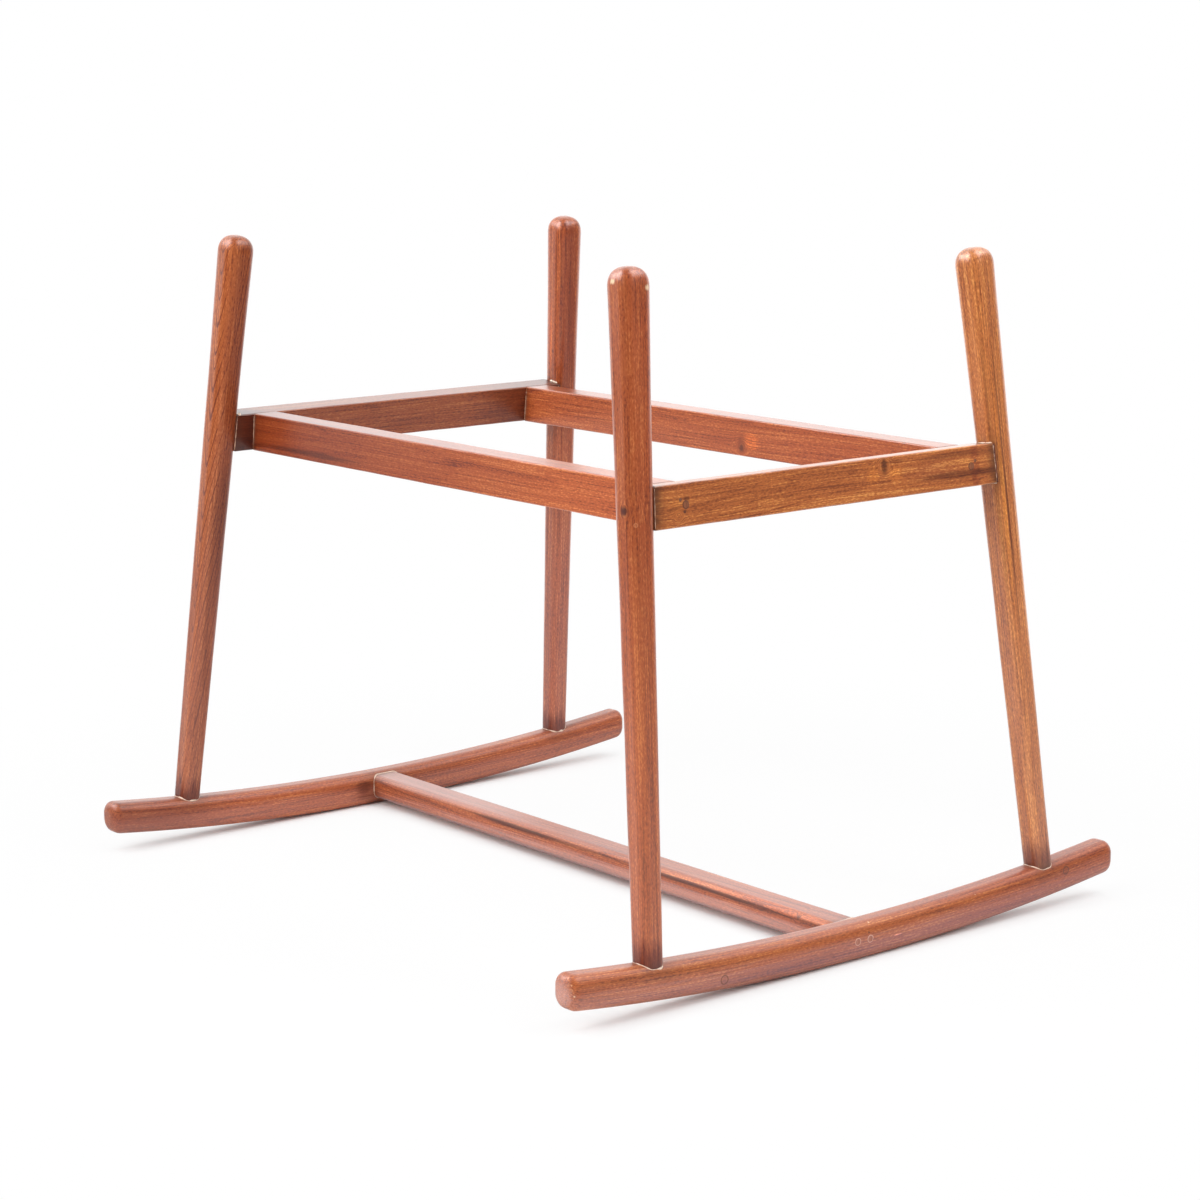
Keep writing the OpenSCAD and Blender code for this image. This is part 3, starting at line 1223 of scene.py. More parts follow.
@dataclass
class Rails:
    """The rectangle of rails: two lean with the posts, and two stand between them."""

    posts: Posts
    edge: float = 1.5 * MM
    edge_uneven: float = 0.35
    uneven: float = 0.12 * MM
    ease: float = 0.35 * MM
    ease_share: float = 0.9985
    fitted: float = 0.5
    half_length: float = 300 * MM
    # painted shade at each rail's ends, where it meets the posts and the other rails
    end_stain: Stain = Stain(0.9, 8 * MM)
    long_stain: Stain = Stain(0.6, 5 * MM)
    stations: int = 121
    seed: int = 21
    outline: Outline = field(default_factory=lambda: Outline.make(flat=9, corner=5))

    def fit(self, end: End) -> float:
        """Share of a post's rounding that an end rail's end follows: it is fitted closer in front."""
        return self.fitted if end is End.FRONT else 0.0

    def shares(self) -> Array:
        """Stations along a rail from -1 to 1, with two close to each end for the eased end."""
        inner = np.linspace(-1, 1, self.stations)[1:-1]
        return np.concatenate([[-1, -self.ease_share], inner, [self.ease_share, 1]])[:, None]

    def section(self, half: float, share: Array, seed: int) -> tuple[Array, Array]:
        """Points across and up, from the middle of the section, uneven as sanded wood is.

        Args:
            half: half the rail's thickness.
            share: stations along it from -1 to 1.
            seed: start of its random draws.

        Returns:
            The points across and up.
        """
        eased = np.where(np.abs(share) == 1, self.ease, 0)
        turn = self.outline.turns(share)
        uneven = waver(share * self.half_length, turn, self.uneven, seed)
        soft = 1 + self.edge_uneven * waver(share * 3 * self.half_length, turn * 0, 1.0, seed + 1)
        tall = LAYOUT.rail_height / 2
        return self.outline.at(half - eased + uneven, tall - eased + uneven, self.edge * soft)

    def build_end(self, side: Side, seed: int) -> None:
        """Builds an end rail, whose ends butt on the posts' leaning inner faces.

        Args:
            side: which end of the stand.
            seed: start of its random draws.
        """
        share = self.shares()
        u, up = self.section(LAYOUT.end_rail_half, share, seed)
        w = up - LAYOUT.rail_height / 2
        fit = np.where(share < 0, self.fit(End.FRONT), self.fit(End.BACK))
        reach = self.posts.inner_face(w) + fit * self.posts.recess(u)
        v = share * reach
        make_board(named("end_rail", side), LAYOUT.in_end_frame(u, v, w, side), {
            "grain": np.stack([u, up, v], -1),
            "edge": self.outline.rim(v),
            "stain": self.end_stain.over(reach - np.abs(v), 2),
        })

    def build_long(self, end: End, seed: int) -> None:
        """Builds a long rail, whose ends are cut to the end rails' leaning inner faces.

        Args:
            end: front or back.
            seed: start of its random draws.
        """
        share = self.shares()
        across, up = self.section(LAYOUT.long_rail_half, share, seed)
        z = LAYOUT.rail_top - LAYOUT.rail_height / 2 + up
        reach = LAYOUT.end_rail_inner(z)
        x = share * reach
        y = end.value * LAYOUT.long_rail_y + across
        make_board(named("long_rail", end), np.stack([x, y, z], -1), {
            "grain": np.stack([across, up, x], -1),
            "edge": self.outline.rim(x),
            "stain": self.long_stain.over(reach - np.abs(x)),
        })

    def build(self) -> None:
        """Builds the two end rails and the two long ones."""
        for index, side in enumerate(Side):
            self.build_end(side, self.seed + index)
        for index, end in enumerate(End, len(Side)):
            self.build_long(end, self.seed + index)


@dataclass
class Base:
    """The two rockers and the stretcher that ties them."""

    end_round: float = 10 * MM
    end_steps: int = 12
    end_squeeze: float = 0.45
    roundest: float = 0.95
    uneven: float = 0.15 * MM
    wear_and_highlight_share: float = 0.5
    grain_bend: float = 0.75
    foot_half: float = 11 * MM
    stretcher_half: float = 16.85 * MM
    stretcher_tall: float = 12.25 * MM
    stretcher_lift: float = 6.5 * MM
    stretcher_edge: float = 7.5 * MM
    stretcher_reach: float = 340 * MM
    # painted shade on the rockers at the posts' feet and beside the stretcher, and at the stretcher's ends
    foot_stain: Stain = Stain(0.5, 7 * MM)
    tie_stain: Stain = Stain(0.5, 9 * MM)
    end_stain: Stain = Stain(0.7, 6 * MM)
    stations: int = 170
    seed: int = 31
    outline: Outline = field(default_factory=lambda: Outline.make(flat=8, corner=9))

    @property
    def stretcher_z(self) -> float:
        """Height of the stretcher's middle."""
        return self.stretcher_lift + self.stretcher_tall

    def rocker_stations(self) -> tuple[Array, Array]:
        """Stations along a rocker.

        The last stations of each end follow a quarter circle: the distance from
        the end is radius (1 - cos a), where the outline draws in by
        radius (1 - sin a).

        Returns:
            The stations and, for each, how far in the outline is drawn, from 0 to 1.
        """
        a = np.linspace(0, np.pi / 2, self.end_steps + 1)[:-1]
        near = LAYOUT.rocker_reach - self.end_round * (1 - np.cos(a))
        flat = LAYOUT.rocker_reach - self.end_round
        y = np.concatenate([-near, np.linspace(-flat, flat, self.stations), near[::-1]])
        drawn = 1 - np.sin(a)
        return y[:, None], np.concatenate([drawn, np.zeros(self.stations), drawn[::-1]])[:, None]

    def build_rocker(self, side: Side, seed: int) -> None:
        """Builds a rocker: a rounded section between two arcs, with rounded ends.

        Args:
            side: which end of the stand.
            seed: start of its random draws.
        """
        y, drawn = self.rocker_stations()
        low, high = LAYOUT.rocker_bottom(y), LAYOUT.rocker_top(y)
        middle = (high + low) / 2
        tall = (high - low) / 2 - drawn * self.end_round
        half = LAYOUT.rocker_half - drawn * LAYOUT.rocker_edge
        radius = LAYOUT.rocker_edge * (1 - self.end_squeeze * drawn)
        across, up = self.outline.at(half, tall, np.minimum(radius, self.roundest * np.minimum(half, tall)))
        y = y * np.ones_like(across)
        proud = 1 + waver(y, self.outline.turns(across), self.uneven, seed) / LAYOUT.rocker_half
        across = across * proud
        from_foot = np.abs(np.abs(y) - LAYOUT.foot_y) - self.foot_half
        on_top = np.clip(up / (LAYOUT.rocker_height / 2), 0, 1)
        at_foot = self.foot_stain.over(np.clip(from_foot, 0, None)) * on_top
        inside = np.clip(-across / LAYOUT.rocker_half, 0, 1)
        at_tie = self.tie_stain.over(np.clip(np.abs(y) - self.stretcher_half, 0, None)) * inside
        x = side.value * (LAYOUT.rocker_x + across)
        z = middle + up
        make_board(named("rocker", side), np.stack([x, y, z], -1), {
            "grain": np.stack([across, z - self.grain_bend * middle, y], -1),
            "edge": self.outline.rim(x, self.wear_and_highlight_share),
            "stain": np.clip(at_foot + at_tie, 0, 1),
        })

    def stretcher_outline(self) -> tuple[Array, Array]:
        """Points of the stretcher's section across it and up from its middle."""
        return self.outline.at(self.stretcher_half, self.stretcher_tall, self.stretcher_edge)

    def build_stretcher(self, seed: int) -> None:
        """Builds the stretcher, whose ends are cut to the rockers' inner faces.

        Args:
            seed: start of its random draws.
        """
        share = np.linspace(-1, 1, self.stations)[:, None]
        across, up = (part * np.ones_like(share) for part in self.stretcher_outline())
        along = share * self.stretcher_reach * np.ones_like(up)
        rise = waver(along, self.outline.turns(up), self.uneven, seed)
        up = up * (1 + rise / self.stretcher_tall)
        z = self.stretcher_z + up
        reach = LAYOUT.rocker_inner(across, z)
        x = share * reach
        make_board("stretcher", np.stack([x, across, z], -1), {
            "grain": np.stack([up, across, x], -1),
            "edge": self.outline.rim(x, self.wear_and_highlight_share),
            "stain": self.end_stain.over(reach - np.abs(x)),
        })

    def build(self) -> None:
        """Builds the two rockers and the stretcher."""
        for index, side in enumerate(Side):
            self.build_rocker(side, self.seed + index)
        self.build_stretcher(self.seed + len(Side))


@dataclass
class Fillings:
    """Round plugs over the screws and filled holes over the brads."""

    plug: Speck
    low_plug: Speck
    filler: Speck
    base: Base
    radius: float = 3.5 * MM
    depth: float = 6 * MM
    screw_y: float = 7.5 * MM
    brad_out: float = 5.5 * MM
    brad_up: float = 4.5 * MM
    hole: float = 1.5 * MM
    proud: float = 0.12 * MM
    around: int = 28
    sharp: float = 60.0

    def button(self, name: str, centres: Array, out: Array, radius: float, depth: float) -> bpy.types.Object:
        """Builds round buttons sunk in the wood, with a slightly domed face.

        Each is a profile of radius and height turned about its own axis, with
        the first point along Y.

        Args:
            name: the piece's name.
            centres: a point on the surface for each button.
            out: the outward direction of each.
            radius: radius of the buttons.
            depth: how deep they are sunk.

        Returns:
            One object with all the buttons.
        """
        reach = np.array([0.5, 1.0, 1.0, 0.97, 0.9, 0.7, 0.35]) * radius
        height = np.concatenate([[-depth, -depth], np.array([0, 0.45, 0.75, 0.95, 1.0]) * self.proud])
        rim = np.array([0, 0, 1.0, 1.0, 0.5, 0, 0])
        turn = np.linspace(0, 2 * np.pi, self.around, endpoint=False)[:, None]
        along = np.array([0, 1.0, 0])
        made = []
        for centre, normal in zip(centres, out):
            spread = along * np.cos(turn) + np.cross(normal, along) * np.sin(turn)
            rings = centre + reach[:, None, None] * spread + height[:, None, None] * normal
            layers = {"grain": rings - centre, "edge": rim[:, None] * np.ones(self.around)}
            made.append(Loft(name, rings, layers).build(self.sharp))
        return join(name, made)

    def on_end_rails(self, beyond: float, above: float) -> Array:
        """A point by each corner on the end rails' outer faces.

        Args:
            beyond: how far it is beyond the long rail's middle.
            above: how far it is above the rail's middle.

        Returns:
            The four points.
        """
        w = above - LAYOUT.rail_height / 2
        return np.array([
            LAYOUT.in_end_frame(LAYOUT.end_rail_half, end.value * (LAYOUT.long_rail_y + beyond), w, side)
            for side, end in CORNERS
        ])

    def build(self) -> None:
        """Builds the buttons on the end rails and on the rockers' outer faces."""
        cos, sin = math.cos(LAYOUT.lean_long), math.sin(LAYOUT.lean_long)
        out = np.array([[side.value * cos, 0, sin] for side, _ in CORNERS])
        piece = self.button("face_rail_plugs", self.on_end_rails(0, 0), out, self.radius, self.depth)
        dress(piece, self.plug.material(), Slot.PLUG, "rail_plugs")
        brads = self.on_end_rails(self.brad_out, self.brad_up)
        piece = self.button("brad_fillings", brads, out, self.hole, self.hole)
        dress(piece, self.filler.material(), Slot.PLUG)
        face = LAYOUT.rocker_x + LAYOUT.rocker_half
        z = self.base.stretcher_z
        screws = np.array([[side.value * face, end.value * self.screw_y, z] for side, end in CORNERS])
        out = np.array([[side.value, 0, 0.0] for side, _ in CORNERS])
        piece = self.button("face_stretcher_plugs", screws, out, self.radius, self.depth)
        dress(piece, self.low_plug.material(), Slot.PLUG, "stretcher_plugs")


@dataclass(frozen=True)
class GlueAndHighlightLedge:
    """Glue pressed out along a post, from low to high across an end rail, in millimetres; on top of the back
    rails it also stands for a painted highlight.

    Its height is counted from the rail's top.
    """

    side: Side
    end: End
    low: float
    high: float
    height: float
    thick: float


GLUE_AND_HIGHLIGHT_LEDGES = (
    # partly dried glue, partly a painted highlight: the bright strip where the rail's top catches the light
    # beside the post
    GlueAndHighlightLedge(Side.LEFT, End.BACK, -11.0, 1.5, 0.4, 1.5),
    GlueAndHighlightLedge(Side.LEFT, End.FRONT, -13.2, -10.5, 0.2, 1.5),
    # partly dried glue, partly a painted highlight: the bright strip where the rail's top catches the light
    # beside the post
    GlueAndHighlightLedge(Side.RIGHT, End.BACK, -6.0, 12.0, 0.2, 0.8),
    GlueAndHighlightLedge(Side.RIGHT, End.BACK, 2.0, 12.6, -36.6, 0.6),
)


@dataclass
class GlueLines:
    """Thin beads of dried glue along the joints, some ledges also a painted highlight, and dark filler in the
    grooves beside the posts, partly painted shade of those grooves.
    """

    finish: Speck
    filler: Speck
    posts: Posts
    rails: Rails
    base: Base
    round_joint: float = 0.9 * MM
    end_joint: float = 0.42 * MM
    corner_joint: float = 0.45 * MM
    round_bright: float = 0.6
    end_clear: float = 1.6 * MM
    corner_clear: float = 1.2 * MM
    groove_clear: float = 0.8 * MM
    in_rail: float = 0.05 * MM
    in_post: float = 0.2 * MM
    sunk: float = 0.1 * MM
    groove_in: float = 1.6 * MM
    groove_over: float = 0.35 * MM
    groove_most: float = 1.35 * MM
    joint_steps: int = 24
    groove_steps: int = 12
    ledge_steps: int = 14
    around: int = 8
    sharp: float = 80.0
    foot_seed: int = 40
    end_seed: int = 60
    corner_seed: int = 80
    tie_seed: int = 90
    ledge_seed: int = 100

    def bead(self, path: Array, radius: Array, closed: bool = False, bright: float = 0.0) -> bpy.types.Object:
        """Builds a tube along a path.

        Args:
            path: points along its middle.
            radius: its radius at each point.
            closed: whether it joins its own start.
            bright: how far it takes the finish's rim colour, from 0 to 1.

        Returns:
            The new object.
        """
        if closed:
            tangent = np.roll(path, -1, 0) - np.roll(path, 1, 0)
        else:
            tangent = np.gradient(path, axis=0)
        tangent = tangent / np.linalg.norm(tangent, axis=1, keepdims=True)
        off_axis = np.array([0.31, 0.27, 0.91])
        first = np.cross(tangent, off_axis)
        first = first / np.linalg.norm(first, axis=1, keepdims=True)
        second = np.cross(tangent, first)
        turn = np.linspace(0, 2 * np.pi, self.around, endpoint=False)[None, :, None]
        ring = first[:, None] * np.cos(turn) + second[:, None] * np.sin(turn)
        rings = path[:, None] + radius[:, None, None] * ring
        layers = {"grain": rings, "edge": np.full(rings.shape[:2], bright)}
        return Loft("bead", rings, layers, closed).build(self.sharp)

    def swelling(self, count: int, thick: float, seed: int, closed: bool = False) -> Array:
        """Radius along a bead: seeded sines, from a quarter of the thickness up, and thin at open ends.

        Args:
            count: points along it.
            thick: its usual radius.
            seed: start of its random draws.
            closed: whether it joins its own start.

        Returns:
            The radius at each point.
        """
        rng = np.random.default_rng(seed)
        place_at = np.linspace(0, 2 * np.pi, count, endpoint=not closed)
        waves = rng.integers(1, 9, 5)
        starts = rng.uniform(0, 2 * np.pi, 5)
        wave = np.sin(place_at[:, None] * waves + starts).mean(1)
        radius = thick * np.clip(0.6 + wave, 0.25, 1.2)
        if not closed:
            radius[[0, -1]] = thick * 0.05
        return radius

    def ring_bead(self, path: Array, seed: int) -> bpy.types.Object:
        """A bright bead round the whole of a joint."""
        radius = self.swelling(len(path), self.round_joint, seed, closed=True)
        return self.bead(path, radius, closed=True, bright=self.round_bright)

    def end_path(self, side: Side, end: End, outer: int) -> Array:
        """The upright line at which an end rail's face meets its post.

        Args:
            side: which end of the stand.
            end: front or back.
            outer: 1 for the rail's outer face, and -1 for its inner one.

        Returns:
            Points along the line.
        """
        half = LAYOUT.end_rail_half
        w = np.linspace(-LAYOUT.rail_height + self.end_clear, -self.end_clear, self.joint_steps)
        reach = self.posts.inner_face(w) + self.rails.fit(end) * self.posts.recess(half)
        v = end.value * (reach - self.in_post)
        return LAYOUT.in_end_frame(outer * (half - self.in_rail), v, w, side)

    def groove_path(self, side: Side, end: End, outer: int) -> tuple[Array, float]:
        """The middle of the groove between an end rail and a post's rounding, and its half width.

        Args:
            side: which end of the stand.
            end: front or back.
            outer: 1 for the groove outside the rail, and -1 for the one inside.

        Returns:
            Points along it, and its half width.
        """
        u = LAYOUT.end_rail_half - self.groove_in
        w = np.linspace(-LAYOUT.rail_height + self.groove_clear, -self.groove_clear, self.groove_steps)
        fit = self.rails.fit(end)
        recess = float(self.posts.recess(u))
        reach = self.posts.inner_face(w) + (1 + fit) / 2 * recess
        path = LAYOUT.in_end_frame(outer * u, end.value * reach, w, side)
        return path, min((1 - fit) / 2 * recess + self.groove_over, self.groove_most)

    def ledge_path(self, glue: GlueAndHighlightLedge) -> Array:
        """The line across an end rail, beside its post, that pressed-out glue follows, some of it also a
        painted highlight.

        Args:
            glue: the glue that was pressed out.

        Returns:
            Points along the line.
        """
        u = np.linspace(glue.low, glue.high, self.ledge_steps) * MM
        w = glue.height * MM * np.ones_like(u)
        v = glue.end.value * (self.posts.inner_face(w) - self.sunk)
        return LAYOUT.in_end_frame(u, v, w, glue.side)

    def corner_path(self, side: Side, end: End, outer: int) -> Array:
        """The upright line at which a face of a long rail meets an end rail.

        Args:
            side: which end of the stand.
            end: front or back.
            outer: 1 for the long rail's outer face, and -1 for its inner one.

        Returns:
            Points along the line.
        """
        w = np.linspace(-LAYOUT.rail_height + self.corner_clear, -self.corner_clear, self.joint_steps)
        z = LAYOUT.rail_top + w
        x = side.value * (LAYOUT.end_rail_inner(z) - self.sunk)
        y = end.value * (LAYOUT.long_rail_y + outer * LAYOUT.long_rail_half) * np.ones_like(z)
        return np.stack([x, y, z], -1)

    def tie_path(self, side: Side) -> Array:
        """The line at which the stretcher's skin meets a rocker.

        Args:
            side: which end of the stand.

        Returns:
            Points along the line.
        """
        across, up = self.base.stretcher_outline()
        z = self.base.stretcher_z + up
        x = side.value * (LAYOUT.rocker_inner(across, z) - self.sunk)
        return np.stack([x, across, z], -1)

    def build(self) -> None:
        """Builds every bead, and joins the glue in one piece and the filler in another."""
        made, dark = [], []
        foot = self.posts.foot()
        for index, (side, end) in enumerate(CORNERS):
            path = LAYOUT.on_post(*self.posts.skin(foot), foot, side, end)
            made.append(self.ring_bead(path, self.foot_seed + index))
            for outer in (1, -1):
                turn = 2 * index + (outer > 0)
                path = self.end_path(side, end, outer)
                radius = self.swelling(len(path), self.end_joint, self.end_seed + turn)
                made.append(self.bead(path, radius))
                # dark groove filler: partly filler, partly painted shade of the groove beside the post
                path, half = self.groove_path(side, end, outer)
                dark.append(self.bead(path, np.full(len(path), half)))
                path = self.corner_path(side, end, outer)
                radius = self.swelling(len(path), self.corner_joint, self.corner_seed + turn)
                made.append(self.bead(path, radius))
        for glue in GLUE_AND_HIGHLIGHT_LEDGES:
            path = self.ledge_path(glue)
            radius = self.swelling(len(path), glue.thick * MM, self.ledge_seed + len(made))
            made.append(self.bead(path, radius, bright=1.0))
        for index, side in enumerate(Side):
            made.append(self.ring_bead(self.tie_path(side), self.tie_seed + index))
        dress(join("glue_lines", made), self.finish.material(), Slot.BEECH)
        dress(join("groove_filler", dark), self.filler.material(), Slot.PLUG)


def stand_at(made: bpy.types.Object, place_at: Triple, back: Array, right: Array) -> None:
    """Puts a lamp or the camera at a place.

    Args:
        made: the lamp or the camera.
        place_at: its place.
        back: the direction away from what it faces.
        right: the direction of its right side, which is made square to back.
    """
    back = back / np.linalg.norm(back)
    right = right - back * (right @ back)
    right = right / np.linalg.norm(right)
    turned = np.eye(4)
    turned[:3] = np.stack([right, np.cross(back, right), back, np.array(place_at)], 1)
    made.matrix_world = Matrix(turned.tolist())


@dataclass(frozen=True)
class Lamp:
    """A square soft light that faces the middle of the stand.

    Only the varnish shows a mirrored one, and the others light only the wood's own colour.
    """

    name: str
    place_at: Triple
    size: float
    watts: float
    mirrored: bool = False
    faces: Triple = (0.0, 0.0, 0.3)

    def build(self) -> None:
        """Hangs the light."""
        data = bpy.data.lights.new(self.name, "AREA")
        data.shape = "SQUARE"
        data.size = self.size
        data.energy = self.watts
        made = new_object(self.name, data)
        made.visible_glossy = self.mirrored
        made.visible_diffuse = not self.mirrored
        back = np.array(self.place_at) - np.array(self.faces)
        stand_at(made, self.place_at, back, np.cross([0, 0, 1.0], back))


LAMPS = (
    Lamp("key_left", (-0.4, -1.35, 2.0), 0.8, 15),
    Lamp("key_right", (1.25, 0.65, 2.0), 0.8, 12),
    Lamp("soft_front", (0.2, -2.5, 1.5), 1.1, 34),
    Lamp("soft_right", (2.1, 0.42, 1.4), 0.8, 13),
    Lamp("box_left", (-1.05, -1.22, 1.85), 1.5, 62, mirrored=True),
    Lamp("box_right", (0.78, 0.78, 2.3), 1.5, 42, mirrored=True),
)


@dataclass
class Studio:
    """The white floor, the white room and the camera."""

    floor_reach: float = 30.0
    paper_colour: Triple = (252, 252, 253)
    room_colour: Triple = (110, 110, 112)
    backdrop_share: float = 0.93
    backdrop_fade: Span = (0.3, 1.0)
    paper_fade: Span = (1.0, 2.0)
    contact_reach: float = 0.06
    contact_fade: Span = (0.1, 0.84)
    floor_fade: Span = (0.6, 1.4)
    room_fade: Span = (0.1, 0.7)
    room_light: float = 0.34
    dim_side: float = 0.25
    overexposed: float = 1.7
    backwards: Triple = (-0.773, 0.634, 0.0)
    lens: float = 91.77
    sensor: float = 36.0
    nearest: float = 0.05
    farthest: float = 200.0
    camera_at: Triple = (2.2095, -1.8046, 0.8120)
    camera_back: Triple = (0.7594, -0.6230, 0.1878)
    camera_right: Triple = (0.6347, 0.7728, -0.0025)

    def floor(self) -> None:
        """Lays the floor, which fades to the white of the backdrop away from the stand."""
        reach = self.floor_reach
        corners = [(-reach, -reach, 0), (reach, -reach, 0), (reach, reach, 0), (-reach, reach, 0)]
        mesh = bpy.data.meshes.new("floor")
        mesh.from_pydata(corners, [], [(0, 1, 2, 3)])
        material, graph = new_material("studio_floor")
        mesh.materials.append(material)
        where = graph.node("ShaderNodeTexCoord").outputs["Object"]
        distance = graph.vector("LENGTH", graph.vector("MULTIPLY", where, (1, 1, 0)))
        path = graph.node("ShaderNodeLightPath").outputs
        seen, glossy = path["Is Camera Ray"], path["Is Glossy Ray"]
        off_paper = graph.times(graph.span(distance, *self.paper_fade), graph.math("SUBTRACT", 1.0, seen))
        colour = graph.mix(off_paper, linear(self.paper_colour), linear(self.room_colour))
        matt = graph.node("ShaderNodeBsdfDiffuse", {"Color": colour}).outputs[0]
        strength = graph.math("MULTIPLY_ADD", glossy, self.overexposed - 1, 1.0)
        white = graph.node("ShaderNodeEmission", {"Color": WHITE, "Strength": strength}).outputs[0]
        sky = graph.node("ShaderNodeAmbientOcclusion", {"Distance": self.contact_reach}, samples=8)
        backdrop = graph.span(distance, *self.backdrop_fade, self.backdrop_share, 1.0)
        share = graph.times(backdrop, graph.span(sky.outputs["AO"], *self.contact_fade), seen)
        behind = graph.vector("DOT_PRODUCT", where, self.backwards)
        share = graph.math("MAXIMUM", share, graph.times(graph.span(behind, *self.floor_fade), glossy))
        graph.node("ShaderNodeOutputMaterial", {"Surface": graph.either(share, matt, white)})
        new_object("floor", mesh)

    def world(self) -> None:
        """Sets the world: white where it is seen or mirrored, softer where it lights."""
        world = bpy.data.worlds.new("studio_world")
        bpy.context.scene.world = world
        world.use_nodes = True
        world.node_tree.nodes.clear()
        graph = Graph(world.node_tree)
        ray = graph.node("ShaderNodeLightPath").outputs
        mirrored = graph.math("MAXIMUM", ray["Is Glossy Ray"], ray["Is Transmission Ray"])
        towards = graph.node("ShaderNodeTexCoord").outputs["Generated"]
        behind = graph.span(graph.vector("DOT_PRODUCT", towards, self.backwards), *self.room_fade)
        mirror = graph.either(behind, graph.backing(self.dim_side), graph.backing(self.overexposed))
        lit = graph.either(mirrored, graph.backing(self.room_light), mirror)
        shown = graph.either(ray["Is Camera Ray"], lit, graph.backing(1.0))
        graph.node("ShaderNodeOutputWorld", {"Surface": shown})

    def camera(self) -> None:
        """Sets the camera where the photograph's edges put it."""
        data = bpy.data.cameras.new("camera")
        data.lens = self.lens
        data.sensor_width = self.sensor
        data.clip_start = self.nearest
        data.clip_end = self.farthest
        made = new_object("camera", data)
        stand_at(made, self.camera_at, np.array(self.camera_back), np.array(self.camera_right))
        bpy.context.scene.camera = made

    def build(self) -> None:
        """Builds the whole studio."""
        self.camera()
        self.world()
        for lamp in LAMPS:
            lamp.build()
        self.floor()
        bpy.context.scene.view_settings.view_transform = "Standard"
        log.info("studio: camera, world, %d lamps and floor", len(LAMPS))


# painted reflection: the pale pink of the white floor and backdrop, mirrored in the varnish
PAINTED_SHEEN = (226, 190, 184)
# pale colour of bare wood at chips and nicks, and of the painted glints on the rocker's near end
CHIP_AND_GLINT = (238, 204, 164)
DARK_RING = (104, 56, 42)


def painted_sheen(centre: Triple, reach: Triple, strength: float, torn: float) -> Streak:
    """A painted sheen: a pale patch that stands for the varnish mirroring the white floor and backdrop."""
    return Streak(centre, reach, PAINTED_SHEEN, strength, torn, Blend.COVER)


def chip(centre: Triple, reach: Triple) -> Streak:
    """A bare patch where the varnish has come off a corner."""
    return Streak(centre, reach, CHIP_AND_GLINT, 0.95, 2.4, Blend.COVER)


def nick_and_glint(centre: Triple, radius: float, inside: float) -> Mark:
    """A pale dot: a bare spot where the varnish is nicked, and on the rocker's near end a painted highlight.
    """
    return Mark(centre, (1, 1, 1), radius, 0.3, CHIP_AND_GLINT, 0.0, inside)


TEAK = Timber((214, 128, 72), (178, 86, 43), (122, 51, 27))
GOLDEN = replace(TEAK, pale=(220, 146, 76), middle=(178, 98, 47), dark=(128, 63, 29))
# painted reflection: the lower part of each post paler, where the varnish mirrors the floor
LOW_PAINTED_SHEEN = painted_sheen((0, 0, -400), (80, 80, 430), 0.08, 0.0)
# painted shade: the foot of each post darker, where it meets the rocker
FOOT_SHADE = Streak((0, 0, -396), (80, 80, 30), (160, 112, 112), 0.85, 1.4)

